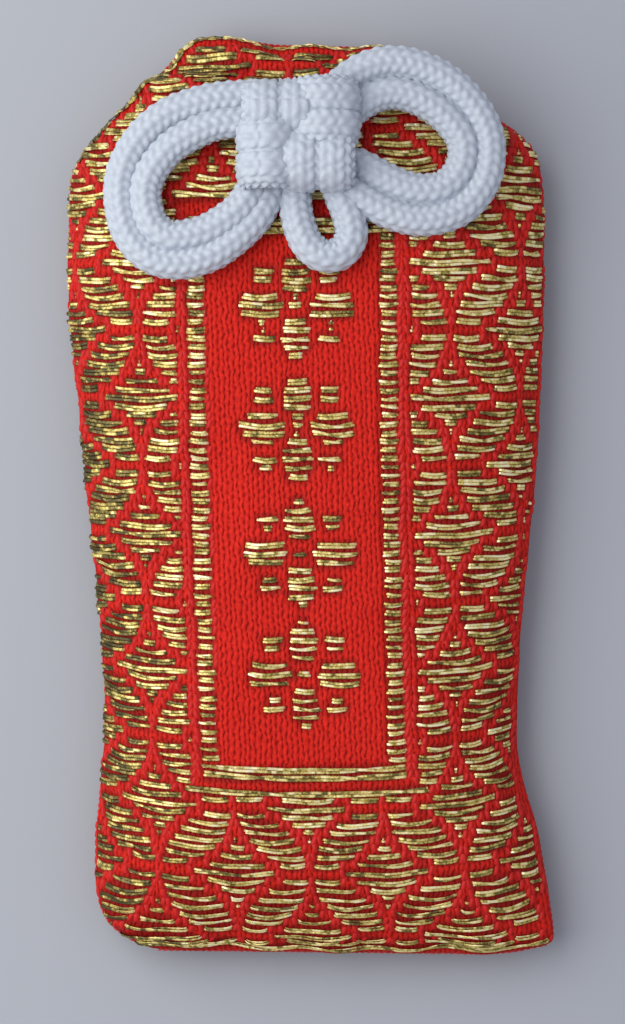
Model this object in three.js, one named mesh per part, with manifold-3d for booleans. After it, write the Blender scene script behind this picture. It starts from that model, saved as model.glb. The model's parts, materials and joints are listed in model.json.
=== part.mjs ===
// Omamori charm: a padded brocade pouch, sewn shut round a wooden tablet in a paper sleeve, with a braided
// cord laced through two eyelets and tied on the front in a double bow.
// Millimetres. X runs to the right, Y to the top of the charm and Z out of its front.
// The charm lies on its back on Z = 0, with the origin under its middle.
import * as THREE from 'three';
import { mergeVertices } from 'three/addons/utils/BufferGeometryUtils.js';
import Module from 'manifold-3d';

const wasm = await Module();
wasm.setup();

// Pouch outline: the level and the half width at each station, for the two sides
const POUCH_HEIGHT = 86;
const LEFT_MOUTH_HALF_WIDTH = 10;
const RIGHT_MOUTH_HALF_WIDTH = 9;
const CHAMFER_LEVEL = 34;
const CHAMFER_HALF_WIDTH = 19.95;
const SHOULDER_LEVEL = 30.5;
const SHOULDER_HALF_WIDTH = 22.5;
const CHEST_LEVEL = 22;
const CHEST_HALF_WIDTH = 22.8;
const BELLY_LEVEL = 4;
const BELLY_HALF_WIDTH = 21.55;
const WAIST_LEVEL = -19;
const LEFT_WAIST_HALF_WIDTH = 20.2;
const RIGHT_WAIST_HALF_WIDTH = 19.05;
const HIP_LEVEL = -34;
const LEFT_HIP_HALF_WIDTH = 21.5;
const RIGHT_HIP_HALF_WIDTH = 20.8;
const CORNER_LEVEL = -40;
const LEFT_CORNER_HALF_WIDTH = 20.6;
const RIGHT_CORNER_HALF_WIDTH = 21.5;
const LEFT_FOOT_HALF_WIDTH = 16.6;
const RIGHT_FOOT_HALF_WIDTH = 21.7;

// Pouch section
const SEAM_LEVEL = 3.2;
const FRONT_RISE = 4.85;
const BACK_FLATTENING = 0.5;
const SIDE_ROUNDNESS = 4;
const END_ROUNDNESS = 6;
const BROCADE_THICKNESS = 0.6;
const LINING_THICKNESS = 0.3;
const LAYER_GAP = 0.2;

// Seams
const THREAD_DIAMETER = 0.4;
const STITCH_LENGTH = 4;
const STITCH_SWING = 0.12;
const THREAD_GAP = 0.13;
const SEAM_END_GAP = 0.6;

// What the pouch holds
const CARD_THICKNESS = 1;
const CARD_INSET = 3.5;
const PAD_INSET = 3;
const TABLET_WIDTH = 22;
const TABLET_LENGTH = 42;
const TABLET_PEAK = 3;
const TABLET_THICKNESS = 1.2;
const SLEEVE_PAPER = 0.3;
const SLEEVE_LENGTH = 46;
const SLEEVE_LEVEL = -5;
const SLEEVE_FIT = 0.2;

// Cord, knot and lacing
const CORD_DIAMETER = 2.3;
const CORD_SIDES = 8;
const KNOT_BELOW_TOP = 9.9;
const KNOT_OFFSET = -0.3;
const KNOT_CORE_HALF_WIDTH = 3.9;
const KNOT_CORE_HEIGHT = 3.6;
const KNOT_STRAND_DIAMETER = 2.7;
const INNER_STRAND_OFFSET = 0.5;
const OUTER_STRAND_OFFSET = 3.4;
const REST_GAP = 0.3;
const LOOP_DROOP = 0.6;
const DROOP_START = 6;
const DROOP_REACH = 12;
const EYELET_HALF_SPREAD = 2.3;
const EYELET_ABOVE_KNOT = 1.8;
const EYELET_FIT = 0.35;

const SEAM_GAP = THREAD_DIAMETER + 2 * (STITCH_SWING + THREAD_GAP);
const FRONT_BASE = SEAM_LEVEL + SEAM_GAP / 2;
const BACK_BASE = SEAM_LEVEL - SEAM_GAP / 2;
const TOP = POUCH_HEIGHT / 2;
const LINING_INSET = BROCADE_THICKNESS + LAYER_GAP;
const CAVITY_INSET = LINING_INSET + LINING_THICKNESS + LAYER_GAP;
const CORD_RADIUS = CORD_DIAMETER / 2;
const KNOT_LEVEL = TOP - KNOT_BELOW_TOP;

// Routes of the cord's loops in plan, from the middle of the knot
const ROUTES = {
  left_loop_outer: [
    [-5.2, 4.85], [-6.9, 4.8], [-9.0, 4.5], [-12.4, 3.2], [-15.3, 0.6], [-17.0, -2.7], [-17.25, -5.3],
    [-16.5, -8.7], [-14.6, -11.0], [-11.8, -11.9], [-8.5, -11.2], [-5.7, -9.2], [-3.9, -7.2], [-3.2, -5.5],
  ],
  left_loop_inner: [
    [-5.2, 2.15], [-6.9, 2.05], [-8.7, 1.75], [-11.5, 0.55], [-13.7, -1.9], [-14.6, -5.1],
    [-14.0, -7.5], [-12.0, -9.1], [-9.3, -8.55], [-7.4, -7.0], [-6.2, -5.8],
  ],
  right_loop_outer: [
    [4.6, 6.0], [6.7, 6.9], [9.8, 7.1], [13.3, 5.9], [16.3, 3.3], [17.9, 0.5], [18.2, -1.5],
    [17.5, -4.7], [15.3, -7.3], [11.7, -8.5], [8.9, -8.1], [7.2, -7.35], [5.8, -6.5],
  ],
  right_loop_inner: [
    [6.4, 3.6], [7.9, 4.15], [9.7, 4.3], [12.4, 3.2], [14.6, 0.8], [15.4, -1.7],
    [14.5, -4.1], [11.9, -5.6], [9.1, -5.1], [7.1, -4.1], [5.3, -3.3],
  ],
  hang_loop: [
    [-0.4, -6.2], [-0.4, -7.1], [-0.1, -8.5], [0.8, -10.4], [2.3, -11.3], [3.8, -10.8], [4.4, -9.3],
    [3.8, -7.6], [2.9, -6.2],
  ],
};

// Smooth curve through [level, value] stations, read at any level
function curveThrough(stations) {
  const slope = (i) => {
    const before = stations[Math.max(i - 1, 0)];
    const after = stations[Math.min(i + 1, stations.length - 1)];
    return (after[1] - before[1]) / (after[0] - before[0]);
  };
  return (level) => {
    let i = stations.findIndex((station) => station[0] > level) - 1;
    i = i < 0 ? (level < stations[0][0] ? 0 : stations.length - 2) : i;
    const [start, end] = [stations[i], stations[i + 1]];
    const span = end[0] - start[0];
    const t = THREE.MathUtils.clamp((level - start[0]) / span, 0, 1);
    const rise = (end[1] - start[1]) * t * t * (3 - 2 * t);
    const turnIn = slope(i) * span * t * (1 - t) * (1 - t);
    const turnOut = slope(i + 1) * span * t * t * (1 - t);
    return start[1] + rise + turnIn - turnOut;
  };
}

// Half widths up one side, from the foot to the mouth
function sideStations(foot, corner, hip, waist, mouth) {
  return [
    [-TOP, foot],
    [CORNER_LEVEL, corner],
    [HIP_LEVEL, hip],
    [WAIST_LEVEL, waist],
    [BELLY_LEVEL, BELLY_HALF_WIDTH],
    [CHEST_LEVEL, CHEST_HALF_WIDTH],
    [SHOULDER_LEVEL, SHOULDER_HALF_WIDTH],
    [CHAMFER_LEVEL, CHAMFER_HALF_WIDTH],
    [TOP, mouth],
  ];
}

const leftEdge = curveThrough(
  sideStations(
    LEFT_FOOT_HALF_WIDTH,
    LEFT_CORNER_HALF_WIDTH,
    LEFT_HIP_HALF_WIDTH,
    LEFT_WAIST_HALF_WIDTH,
    LEFT_MOUTH_HALF_WIDTH,
  ),
);
const rightEdge = curveThrough(
  sideStations(
    RIGHT_FOOT_HALF_WIDTH,
    RIGHT_CORNER_HALF_WIDTH,
    RIGHT_HIP_HALF_WIDTH,
    RIGHT_WAIST_HALF_WIDTH,
    RIGHT_MOUTH_HALF_WIDTH,
  ),
);

// Half width on the side that x lies on
function halfWidth(x, y, inset) {
  const edge = x < 0 ? leftEdge(y) : rightEdge(y);
  return edge - inset;
}

// How far the pouch swells at a point, from 0 at its edge to 1 at its middle
function swell(across, along) {
  const side = 1 - Math.abs(across) ** SIDE_ROUNDNESS;
  const end = 1 - Math.abs(along) ** END_ROUNDNESS;
  return Math.sqrt(Math.max(side, 0) * Math.max(end, 0));
}

function swellAt(x, y, inset) {
  return swell(x / halfWidth(x, y, inset), y / (TOP - inset));
}

function frontHeight(x, y, inset) {
  return FRONT_BASE + (FRONT_RISE - inset) * swellAt(x, y, inset);
}

function backHeight(x, y, inset) {
  const drop = (BACK_BASE + BACK_FLATTENING - inset) * swellAt(x, y, inset);
  return Math.max(BACK_BASE - drop, inset);
}

// Plan point of a grid that fills the outline, closer together towards the edges
function planPoint(across, along, inset) {
  const spread = (share) => Math.sin((share * Math.PI) / 2);
  const y = spread(along) * (TOP - inset);
  const side = spread(across);
  return [side * halfWidth(side, y, inset), y];
}

function geometryFrom(positions, triangles) {
  const geometry = new THREE.BufferGeometry();
  geometry.setAttribute('position', new THREE.Float32BufferAttribute(positions, 3));
  geometry.setIndex(triangles);
  return geometry;
}

// Closed body between an upper and a lower grid of points with the same rows and columns
function bodyBetween(rows, columns, upper, lower) {
  const positions = [];
  const triangles = [];
  const stride = columns + 1;
  const layer = (rows + 1) * stride;
  for (const grid of [upper, lower]) {
    for (let row = 0; row <= rows; row += 1) {
      for (let column = 0; column <= columns; column += 1) {
        positions.push(...grid((2 * column) / columns - 1, (2 * row) / rows - 1));
      }
    }
  }
  const quad = (a, b, c, d) => triangles.push(a, b, c, a, c, d);
  for (let row = 0; row < rows; row += 1) {
    for (let column = 0; column < columns; column += 1) {
      const a = row * stride + column;
      quad(a, a + 1, a + stride + 1, a + stride);
      quad(layer + a, layer + a + stride, layer + a + stride + 1, layer + a + 1);
    }
  }
  for (let column = 0; column < columns; column += 1) {
    const last = rows * stride + column;
    quad(column, layer + column, layer + column + 1, column + 1);
    quad(last, last + 1, layer + last + 1, layer + last);
  }
  for (let row = 0; row < rows; row += 1) {
    const first = row * stride;
    const last = first + columns;
    quad(first, first + stride, layer + first + stride, layer + first);
    quad(last, layer + last, layer + last + stride, last + stride);
  }
  return geometryFrom(positions, triangles);
}

function solidFrom(geometry) {
  const bare = geometry.clone();
  bare.deleteAttribute('normal');
  bare.deleteAttribute('uv');
  const merged = mergeVertices(bare, 1e-4);
  return new wasm.Manifold(new wasm.Mesh({
    numProp: 3,
    vertProperties: merged.attributes.position.array,
    triVerts: new Uint32Array(merged.index.array),
  }));
}

function geometryOf(solid) {
  const mesh = solid.getMesh();
  return geometryFrom(Array.from(mesh.vertProperties), Array.from(mesh.triVerts));
}

// Tube of a given diameter along a curve, with flat ends
function tube(curve, diameter, sides, steps) {
  const section = new THREE.Shape();
  for (let side = 0; side < sides; side += 1) {
    const angle = (2 * Math.PI * (side + 0.5)) / sides;
    section[side ? 'lineTo' : 'moveTo'](Math.cos(angle) * diameter / 2, Math.sin(angle) * diameter / 2);
  }
  section.closePath();
  return new THREE.ExtrudeGeometry(section, { extrudePath: curve, steps, bevelEnabled: false });
}

function smoothCurve(points) {
  const spots = points.map((point) => new THREE.Vector3(...point));
  return new THREE.CatmullRomCurve3(spots, false, 'centripetal');
}

const charm = new THREE.Group();

function addPiece(name, geometry, color, roughness, metalness = 0) {
  const material = new THREE.MeshStandardMaterial({ color, roughness, metalness });
  const mesh = new THREE.Mesh(geometry, material);
  mesh.name = name;
  charm.add(mesh);
}

// Eyelets: the two holes that the cord is laced through, behind the knot
const EYELET_LEVEL = KNOT_LEVEL + EYELET_ABOVE_KNOT;
const EYELETS = [KNOT_OFFSET - EYELET_HALF_SPREAD, KNOT_OFFSET + EYELET_HALF_SPREAD];

function eyeletSolid(x) {
  const punch = new THREE.CylinderGeometry(
    CORD_RADIUS + EYELET_FIT,
    CORD_RADIUS + EYELET_FIT,
    FRONT_BASE + FRONT_RISE,
    CORD_SIDES * 2,
  );
  punch.rotateX(Math.PI / 2);
  punch.translate(x, EYELET_LEVEL, FRONT_BASE + (FRONT_BASE + FRONT_RISE) / 2);
  return solidFrom(punch);
}

function withEyelets(geometry) {
  return geometryOf(EYELETS.reduce((solid, x) => solid.subtract(eyeletSolid(x)), solidFrom(geometry)));
}

// Cloth layers: shells that follow the swollen outline at a given depth, open towards the seam
function frontShell(depth, thickness, rows, columns) {
  const surface = (inset) => (across, along) => {
    const [x, y] = planPoint(across, along, inset);
    return [x, y, frontHeight(x, y, inset)];
  };
  return bodyBetween(rows, columns, surface(depth), surface(depth + thickness));
}

function backShell(depth, thickness, rows, columns) {
  const surface = (inset) => (across, along) => {
    const [x, y] = planPoint(across, along, inset);
    return [x, y, backHeight(x, y, inset)];
  };
  return bodyBetween(rows, columns, surface(depth + thickness), surface(depth));
}

const BROCADE_ROWS = 24;
const BROCADE_COLUMNS = 16;
const LINING_ROWS = 16;
const LINING_COLUMNS = 12;

addPiece(
  'front_brocade',
  withEyelets(frontShell(0, BROCADE_THICKNESS, BROCADE_ROWS, BROCADE_COLUMNS)),
  0xc01a14,
  0.7,
);
addPiece('back_brocade', backShell(0, BROCADE_THICKNESS, BROCADE_ROWS, BROCADE_COLUMNS), 0xc01a14, 0.7);
addPiece(
  'front_lining',
  withEyelets(frontShell(LINING_INSET, LINING_THICKNESS, LINING_ROWS, LINING_COLUMNS)),
  0xd9cdb8,
  0.9,
);
addPiece(
  'back_lining',
  backShell(LINING_INSET, LINING_THICKNESS, LINING_ROWS, LINING_COLUMNS),
  0xd9cdb8,
  0.9,
);

// Seam threads: ladder stitches that run between the two turned edges, one thread for each stretch of seam
const STEPS_PER_STITCH = 4;
const THREAD_SIDES = 5;

function seamPoint(x, y, travelled) {
  const swing = Math.sin((2 * Math.PI * travelled) / STITCH_LENGTH) * STITCH_SWING;
  return [x, y, SEAM_LEVEL + swing];
}

function seamThread(plan) {
  const path = new THREE.CurvePath();
  for (let i = 1; i < plan.length; i += 1) {
    const start = new THREE.Vector3(...plan[i - 1], 0);
    path.add(new THREE.LineCurve3(start, new THREE.Vector3(...plan[i], 0)));
  }
  const length = path.getLength();
  const steps = Math.ceil((length / STITCH_LENGTH) * STEPS_PER_STITCH);
  const spots = path.getSpacedPoints(steps);
  const points = spots.map((spot, i) => seamPoint(spot.x, spot.y, (length * i) / steps));
  return tube(smoothCurve(points), THREAD_DIAMETER, THREAD_SIDES, steps);
}

const THREAD_INSET = BROCADE_THICKNESS / 2;
const SIDE_LEVELS = 32;

function sideSeamPlan(sign) {
  const reach = TOP - THREAD_INSET - SEAM_END_GAP;
  return Array.from({ length: SIDE_LEVELS + 1 }, (_, i) => {
    const y = -reach + (2 * reach * i) / SIDE_LEVELS;
    return [sign * halfWidth(sign, y, THREAD_INSET), y];
  });
}

function endSeamPlan(sign) {
  const y = sign * (TOP - THREAD_INSET);
  const inset = THREAD_INSET + SEAM_END_GAP;
  return [[-halfWidth(-1, y, inset), y], [halfWidth(1, y, inset), y]];
}

addPiece('left_seam_thread', seamThread(sideSeamPlan(-1)), 0xb01510, 0.6);
addPiece('right_seam_thread', seamThread(sideSeamPlan(1)), 0xb01510, 0.6);
addPiece('foot_seam_thread', seamThread(endSeamPlan(-1)), 0xb01510, 0.6);
addPiece('mouth_thread', seamThread(endSeamPlan(1)), 0xb01510, 0.6);

// Paper sleeve and wooden tablet: they lie on the back lining
const SLEEVE_BOTTOM = CAVITY_INSET;
const SLEEVE_BORE_WIDTH = TABLET_WIDTH + 2 * SLEEVE_FIT;
const SLEEVE_BORE_HEIGHT = TABLET_THICKNESS + 2 * SLEEVE_FIT;
const SLEEVE_WIDTH = SLEEVE_BORE_WIDTH + 2 * SLEEVE_PAPER;
const SLEEVE_HEIGHT = SLEEVE_BORE_HEIGHT + 2 * SLEEVE_PAPER;

function rectangle(ShapeClass, width, height) {
  const shape = new ShapeClass();
  shape.moveTo(-width / 2, -height / 2);
  shape.lineTo(width / 2, -height / 2);
  shape.lineTo(width / 2, height / 2);
  shape.lineTo(-width / 2, height / 2);
  shape.closePath();
  return shape;
}

const sleeveSection = rectangle(THREE.Shape, SLEEVE_WIDTH, SLEEVE_HEIGHT);
sleeveSection.holes.push(rectangle(THREE.Path, SLEEVE_BORE_WIDTH, SLEEVE_BORE_HEIGHT));
const sleeve = new THREE.ExtrudeGeometry(sleeveSection, { depth: SLEEVE_LENGTH, bevelEnabled: false });
sleeve.rotateX(Math.PI / 2);
sleeve.translate(0, SLEEVE_LEVEL + SLEEVE_LENGTH / 2, SLEEVE_BOTTOM + SLEEVE_HEIGHT / 2);
addPiece('paper_sleeve', sleeve, 0xf1ece0, 0.9);

const tabletOutline = new THREE.Shape();
tabletOutline.moveTo(-TABLET_WIDTH / 2, -TABLET_LENGTH / 2);
tabletOutline.lineTo(TABLET_WIDTH / 2, -TABLET_LENGTH / 2);
tabletOutline.lineTo(TABLET_WIDTH / 2, TABLET_LENGTH / 2 - TABLET_PEAK);
tabletOutline.lineTo(0, TABLET_LENGTH / 2);
tabletOutline.lineTo(-TABLET_WIDTH / 2, TABLET_LENGTH / 2 - TABLET_PEAK);
tabletOutline.closePath();
const tablet = new THREE.ExtrudeGeometry(tabletOutline, { depth: TABLET_THICKNESS, bevelEnabled: false });
tablet.translate(0, SLEEVE_LEVEL, SLEEVE_BOTTOM + SLEEVE_PAPER + SLEEVE_FIT);
addPiece('wood_tablet', tablet, 0xd2a56d, 0.7);

// Card and wadding pad: they fill the cavity up to the lacing
const CARD_BOTTOM = SLEEVE_BOTTOM + SLEEVE_HEIGHT + LAYER_GAP;
const CARD_TOP = CARD_BOTTOM + CARD_THICKNESS;
const FILLING_TOP = EYELET_LEVEL - CORD_RADIUS - REST_GAP;

function fillingPoint(across, along, inset) {
  const bottom = -TOP + inset;
  const y = bottom + ((along + 1) / 2) * (FILLING_TOP - bottom);
  return [across * halfWidth(across, y, inset), y];
}

function fillingBody(rows, columns, inset, upperAt, lowerAt) {
  const surface = (heightAt) => (across, along) => {
    const [x, y] = fillingPoint(across, along, inset);
    return [x, y, heightAt(x, y)];
  };
  return bodyBetween(rows, columns, surface(upperAt), surface(lowerAt));
}

const FILLING_ROWS = 14;
const PAD_COLUMNS = 12;
const CARD_COLUMNS = 2;
addPiece(
  'stiffener_card',
  fillingBody(FILLING_ROWS, CARD_COLUMNS, CAVITY_INSET + CARD_INSET, () => CARD_TOP, () => CARD_BOTTOM),
  0xc9b48c,
  0.9,
);
const padTop = (x, y) => frontHeight(x, y, CAVITY_INSET) - LAYER_GAP;
const padBottom = () => CARD_TOP + LAYER_GAP;
addPiece(
  'wadding_pad',
  fillingBody(FILLING_ROWS, PAD_COLUMNS, CAVITY_INSET + PAD_INSET, padTop, padBottom),
  0xf4f2ec,
  1,
);

// Level that the bow rests on: just above the highest cloth under the knot and its loops
const knotCorners = [-1, 1].flatMap((across) => [-1, 1].map((along) => [
  across * (OUTER_STRAND_OFFSET + KNOT_STRAND_DIAMETER / 2),
  along * (OUTER_STRAND_OFFSET + KNOT_STRAND_DIAMETER / 2),
]));
const restingPoints = [...knotCorners, ...Object.values(ROUTES).flat()];
const clothUnderBow = restingPoints.map(([x, y]) => frontHeight(KNOT_OFFSET + x, KNOT_LEVEL + y, 0));
const BOW_BASE = Math.max(...clothUnderBow) + REST_GAP;

// Lacing cord: in at one eyelet, behind the front lining and out at the other
const LACING_BEND = CORD_DIAMETER * 0.65;
const LACING_TOP = BOW_BASE - REST_GAP;
const LACING_BAR = Math.min(...EYELETS.map((x) => frontHeight(x, EYELET_LEVEL + CORD_RADIUS, CAVITY_INSET)))
  - REST_GAP - CORD_RADIUS;

function lacingCorner(x, inward) {
  const quarter = [0, 0.25, 0.5, 0.75, 1].map((share) => (share * Math.PI) / 2);
  return quarter.map((angle) => [
    x + inward * LACING_BEND * (1 - Math.cos(angle)),
    EYELET_LEVEL,
    LACING_BAR + LACING_BEND * (1 - Math.sin(angle)),
  ]);
}

const lacingPoints = [
  [EYELETS[0], EYELET_LEVEL, LACING_TOP],
  ...lacingCorner(EYELETS[0], 1),
  ...lacingCorner(EYELETS[1], -1).reverse(),
  [EYELETS[1], EYELET_LEVEL, LACING_TOP],
];
const LACING_STEPS = 24;
addPiece(
  'lacing_cord',
  tube(smoothCurve(lacingPoints), CORD_DIAMETER, CORD_SIDES, LACING_STEPS),
  0xeef0f6,
  0.6,
);

// Knot: four pairs of strands round a core, each pair coming over one edge and going under the next pair
const STRAND_RADIUS = KNOT_STRAND_DIAMETER / 2;
const STRAND_TOP = KNOT_CORE_HEIGHT + STRAND_RADIUS * 0.6;
const STRAND_EDGE = OUTER_STRAND_OFFSET + STRAND_RADIUS * 0.75;

function strandPoints(offset) {
  return [
    [-offset, KNOT_CORE_HALF_WIDTH / 2, STRAND_RADIUS],
    [-offset, STRAND_EDGE - STRAND_RADIUS / 2, STRAND_RADIUS * 1.05],
    [-offset, STRAND_EDGE, STRAND_TOP / 2],
    [-offset, STRAND_EDGE - STRAND_RADIUS / 4, STRAND_TOP - STRAND_RADIUS / 2],
    [-offset, STRAND_EDGE - STRAND_RADIUS, STRAND_TOP],
    [-offset, INNER_STRAND_OFFSET + STRAND_RADIUS, STRAND_TOP],
    [-offset, INNER_STRAND_OFFSET, STRAND_TOP - STRAND_RADIUS / 3],
    [-offset, -STRAND_RADIUS / 2, STRAND_TOP - STRAND_RADIUS],
  ];
}

const STRAND_STEPS = 12;
const core = new THREE.BoxGeometry(2 * KNOT_CORE_HALF_WIDTH, 2 * KNOT_CORE_HALF_WIDTH, KNOT_CORE_HEIGHT);
core.translate(0, 0, KNOT_CORE_HEIGHT / 2);
let knot = solidFrom(core);
for (let quarter = 0; quarter < 4; quarter += 1) {
  for (const offset of [INNER_STRAND_OFFSET, OUTER_STRAND_OFFSET]) {
    const curve = smoothCurve(strandPoints(offset));
    const strand = tube(curve, KNOT_STRAND_DIAMETER, CORD_SIDES, STRAND_STEPS);
    strand.rotateZ((quarter * Math.PI) / 2);
    knot = knot.add(solidFrom(strand));
  }
}
const knotGeometry = geometryOf(knot);
knotGeometry.translate(KNOT_OFFSET, KNOT_LEVEL, BOW_BASE);
addPiece('bow_knot', knotGeometry, 0xeef0f6, 0.6);

// Loops: open tubes that lie flat on the cloth and droop a little towards their ends
const LOOP_STEPS = 28;

function loopCurve(route) {
  return smoothCurve(route.map(([x, y]) => {
    const reach = Math.max((Math.abs(x) - DROOP_START) / DROOP_REACH, 0);
    return [KNOT_OFFSET + x, KNOT_LEVEL + y, BOW_BASE + CORD_RADIUS - LOOP_DROOP * reach * reach];
  }));
}

// Least distance between the surfaces of two tubes, from points along their middle lines
function leastGap(first, second) {
  const spots = second.getSpacedPoints(LOOP_STEPS * 8);
  const distances = first.getSpacedPoints(LOOP_STEPS * 8).map((point) => (
    Math.min(...spots.map((spot) => spot.distanceTo(point)))
  ));
  return Math.min(...distances) - CORD_DIAMETER;
}

const loopCurves = {};
for (const [name, route] of Object.entries(ROUTES)) {
  loopCurves[name] = loopCurve(route);
  addPiece(name, tube(loopCurves[name], CORD_DIAMETER, CORD_SIDES, LOOP_STEPS), 0xeef0f6, 0.6);
}
for (const side of ['left', 'right']) {
  const gap = leastGap(loopCurves[`${side}_loop_outer`], loopCurves[`${side}_loop_inner`]);
  console.log(`least gap between the ${side} loops: ${gap.toFixed(2)} mm`);
}

export default charm;
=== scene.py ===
# %% [markdown]
# # A brocade charm with a braided cord bow
# The charm is a flat pouch of red cloth with gold wefts. It is padded, sewn shut round a small tablet,
# and a white braided cord is laced through its top and tied on the front in a double bow. The packed
# solids say where each piece lies and how it moves. This lesson dresses them with woven cloth, gilt
# floats and braid.

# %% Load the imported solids
import json
import math
import bpy
import numpy as np
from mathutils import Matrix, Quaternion, Vector


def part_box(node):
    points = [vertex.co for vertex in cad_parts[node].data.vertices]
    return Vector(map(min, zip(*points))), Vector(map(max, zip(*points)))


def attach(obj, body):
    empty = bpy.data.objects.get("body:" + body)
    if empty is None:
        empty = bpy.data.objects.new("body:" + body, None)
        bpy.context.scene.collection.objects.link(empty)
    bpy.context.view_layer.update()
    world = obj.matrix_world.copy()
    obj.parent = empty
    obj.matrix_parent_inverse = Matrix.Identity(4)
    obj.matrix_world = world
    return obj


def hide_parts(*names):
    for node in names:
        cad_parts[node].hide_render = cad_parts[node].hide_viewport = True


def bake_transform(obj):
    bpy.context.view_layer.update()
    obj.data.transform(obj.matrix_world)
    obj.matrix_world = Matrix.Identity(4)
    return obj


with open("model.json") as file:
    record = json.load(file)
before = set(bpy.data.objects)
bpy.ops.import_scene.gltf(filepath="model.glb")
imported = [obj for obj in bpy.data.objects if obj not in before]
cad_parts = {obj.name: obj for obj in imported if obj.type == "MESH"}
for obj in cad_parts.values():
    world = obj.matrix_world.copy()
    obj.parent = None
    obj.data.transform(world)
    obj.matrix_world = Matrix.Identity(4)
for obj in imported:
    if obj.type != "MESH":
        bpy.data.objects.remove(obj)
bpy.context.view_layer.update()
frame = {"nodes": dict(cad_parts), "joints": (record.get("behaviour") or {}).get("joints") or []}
MM = 0.001
print("solids loaded:", len(frame["nodes"]))

# %% [markdown]
# ## Table, light and camera
# The charm lies on a pale grey table and is seen almost straight from above, a little from its foot. A
# long lens keeps its sides parallel. One broad lamp stands low at the left, near enough that the table
# darkens towards the right, and an even sky fills the shadow. The level is plain, so that a colour
# renders about as it is written.

# %% Meshes, materials and noise
scene = bpy.context.scene
scene.view_settings.view_transform = "Standard"


def add_piece(name, points, faces, material):
    """A smooth mesh object from points in millimetres."""
    mesh = bpy.data.meshes.new(name)
    mesh.from_pydata((np.asarray(points, float) * MM).tolist(), [], faces)
    mesh.polygons.foreach_set("use_smooth", np.ones(len(mesh.polygons), bool))
    mesh.materials.append(material)
    piece = bpy.data.objects.new(name, mesh)
    scene.collection.objects.link(piece)
    return piece


def start_material(name, roughness):
    """A node material: its nodes, its links and its Principled shader."""
    material = bpy.data.materials.new(name)
    material.use_nodes = True
    tree = material.node_tree
    shader = tree.nodes["Principled BSDF"]
    shader.inputs["Roughness"].default_value = roughness
    return material, tree.nodes, tree.links, shader


def colour_ramp(nodes, links, factor, stops):
    """Colours along a factor; each stop is a place and a colour."""
    ramp = nodes.new("ShaderNodeValToRGB")
    while len(ramp.color_ramp.elements) < len(stops):
        ramp.color_ramp.elements.new(0.5)
    for element, (place, colour) in zip(ramp.color_ramp.elements, stops):
        element.position = place
        element.color = (*colour, 1)
    links.new(factor, ramp.inputs["Fac"])
    return ramp.outputs["Color"]


def noise_node(nodes, links, scale, detail=2, place=None):
    """The value of a Noise Texture; its place is a socket, or else the box of the object."""
    noise = nodes.new("ShaderNodeTexNoise")
    noise.inputs["Scale"].default_value = scale
    noise.inputs["Detail"].default_value = detail
    if place is not None:
        links.new(place, noise.inputs["Vector"])
    return noise.outputs["Fac"]


# %% Table
TABLE_HALF = 1500
TABLE_LEVEL = -0.05
table_paint, nodes, links, shader = start_material("table_paint", 0.7)
table_colour = colour_ramp(nodes, links, noise_node(nodes, links, 40), [
    (0.3, (0.372, 0.402, 0.438)),
    (0.7, (0.39, 0.42, 0.456)),
])
links.new(table_colour, shader.inputs["Base Color"])
table = add_piece(
    "table",
    [(x * TABLE_HALF, y * TABLE_HALF, TABLE_LEVEL) for x, y in ((-1, -1), (1, -1), (1, 1), (-1, 1))],
    [(0, 1, 2, 3)],
    table_paint,
)
print("table nodes:", len(nodes))

# %% Light
world = bpy.data.worlds.new("even_sky")
world.use_nodes = True
sky = world.node_tree.nodes["Background"]
sky.inputs["Color"].default_value = (0.88, 0.88, 1.0, 1)
sky.inputs["Strength"].default_value = 0.56
scene.world = world

LAMP_PLACE = Vector((-0.15, 0.04, 0.155))
lamp = bpy.data.lights.new("broad_lamp", "AREA")
lamp.size = 0.30
lamp.energy = 0.625
lamp.color = (1.0, 0.97, 0.93)
lamp_stand = bpy.data.objects.new("broad_lamp", lamp)
lamp_stand.location = LAMP_PLACE
lamp_stand.rotation_euler = (-LAMP_PLACE).to_track_quat("-Z", "Y").to_euler()
scene.collection.objects.link(lamp_stand)
print("lamp at", [round(x, 3) for x in LAMP_PLACE], "m")

# %% Camera
VIEW_ELEVATION = math.radians(86.5)
VIEW_DISTANCE = 0.36
VIEW_TARGET = Vector((0, -0.0018, 0.005))
VIEW_HEIGHT = 0.0966
PICTURE_TURN = math.radians(1.7)
SENSOR = 36
camera_data = bpy.data.cameras.new("camera")
camera_data.sensor_width = SENSOR
camera_data.lens = SENSOR * VIEW_DISTANCE / VIEW_HEIGHT
camera_data.clip_start = 0.01
camera = bpy.data.objects.new("camera", camera_data)
towards = Vector((0, -math.cos(VIEW_ELEVATION), math.sin(VIEW_ELEVATION)))
camera.location = VIEW_TARGET + towards * VIEW_DISTANCE
camera.rotation_mode = "QUATERNION"
level_view = (-towards).to_track_quat("-Z", "Y")
camera.rotation_quaternion = level_view @ Quaternion((0, 0, 1), -PICTURE_TURN)
scene.collection.objects.link(camera)
scene.camera = camera
print("lens:", round(camera_data.lens, 1), "mm")

# %% [markdown]
# ## Braided cord
# The cord is a round braid of ten strands: five wind one way, five the other, and each passes over one
# and under the next. What shows is ten columns of short slanting beads, which lean to the left and to the
# right in turn. Each strand could be swept as a tube of its own, but the yarn is soft and the strands
# press into each other, so no gap shows between them. One tube is swept along the cord instead, and its
# wall is raised into those beads, so that they show on the outline and shade each other.

# %% Smooth lines
FINE_STEPS = 60


def travelled(line):
    """Length along a line up to each of its points."""
    return np.concatenate([[0], np.cumsum(np.linalg.norm(np.diff(line, axis=0), axis=1))])


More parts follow.
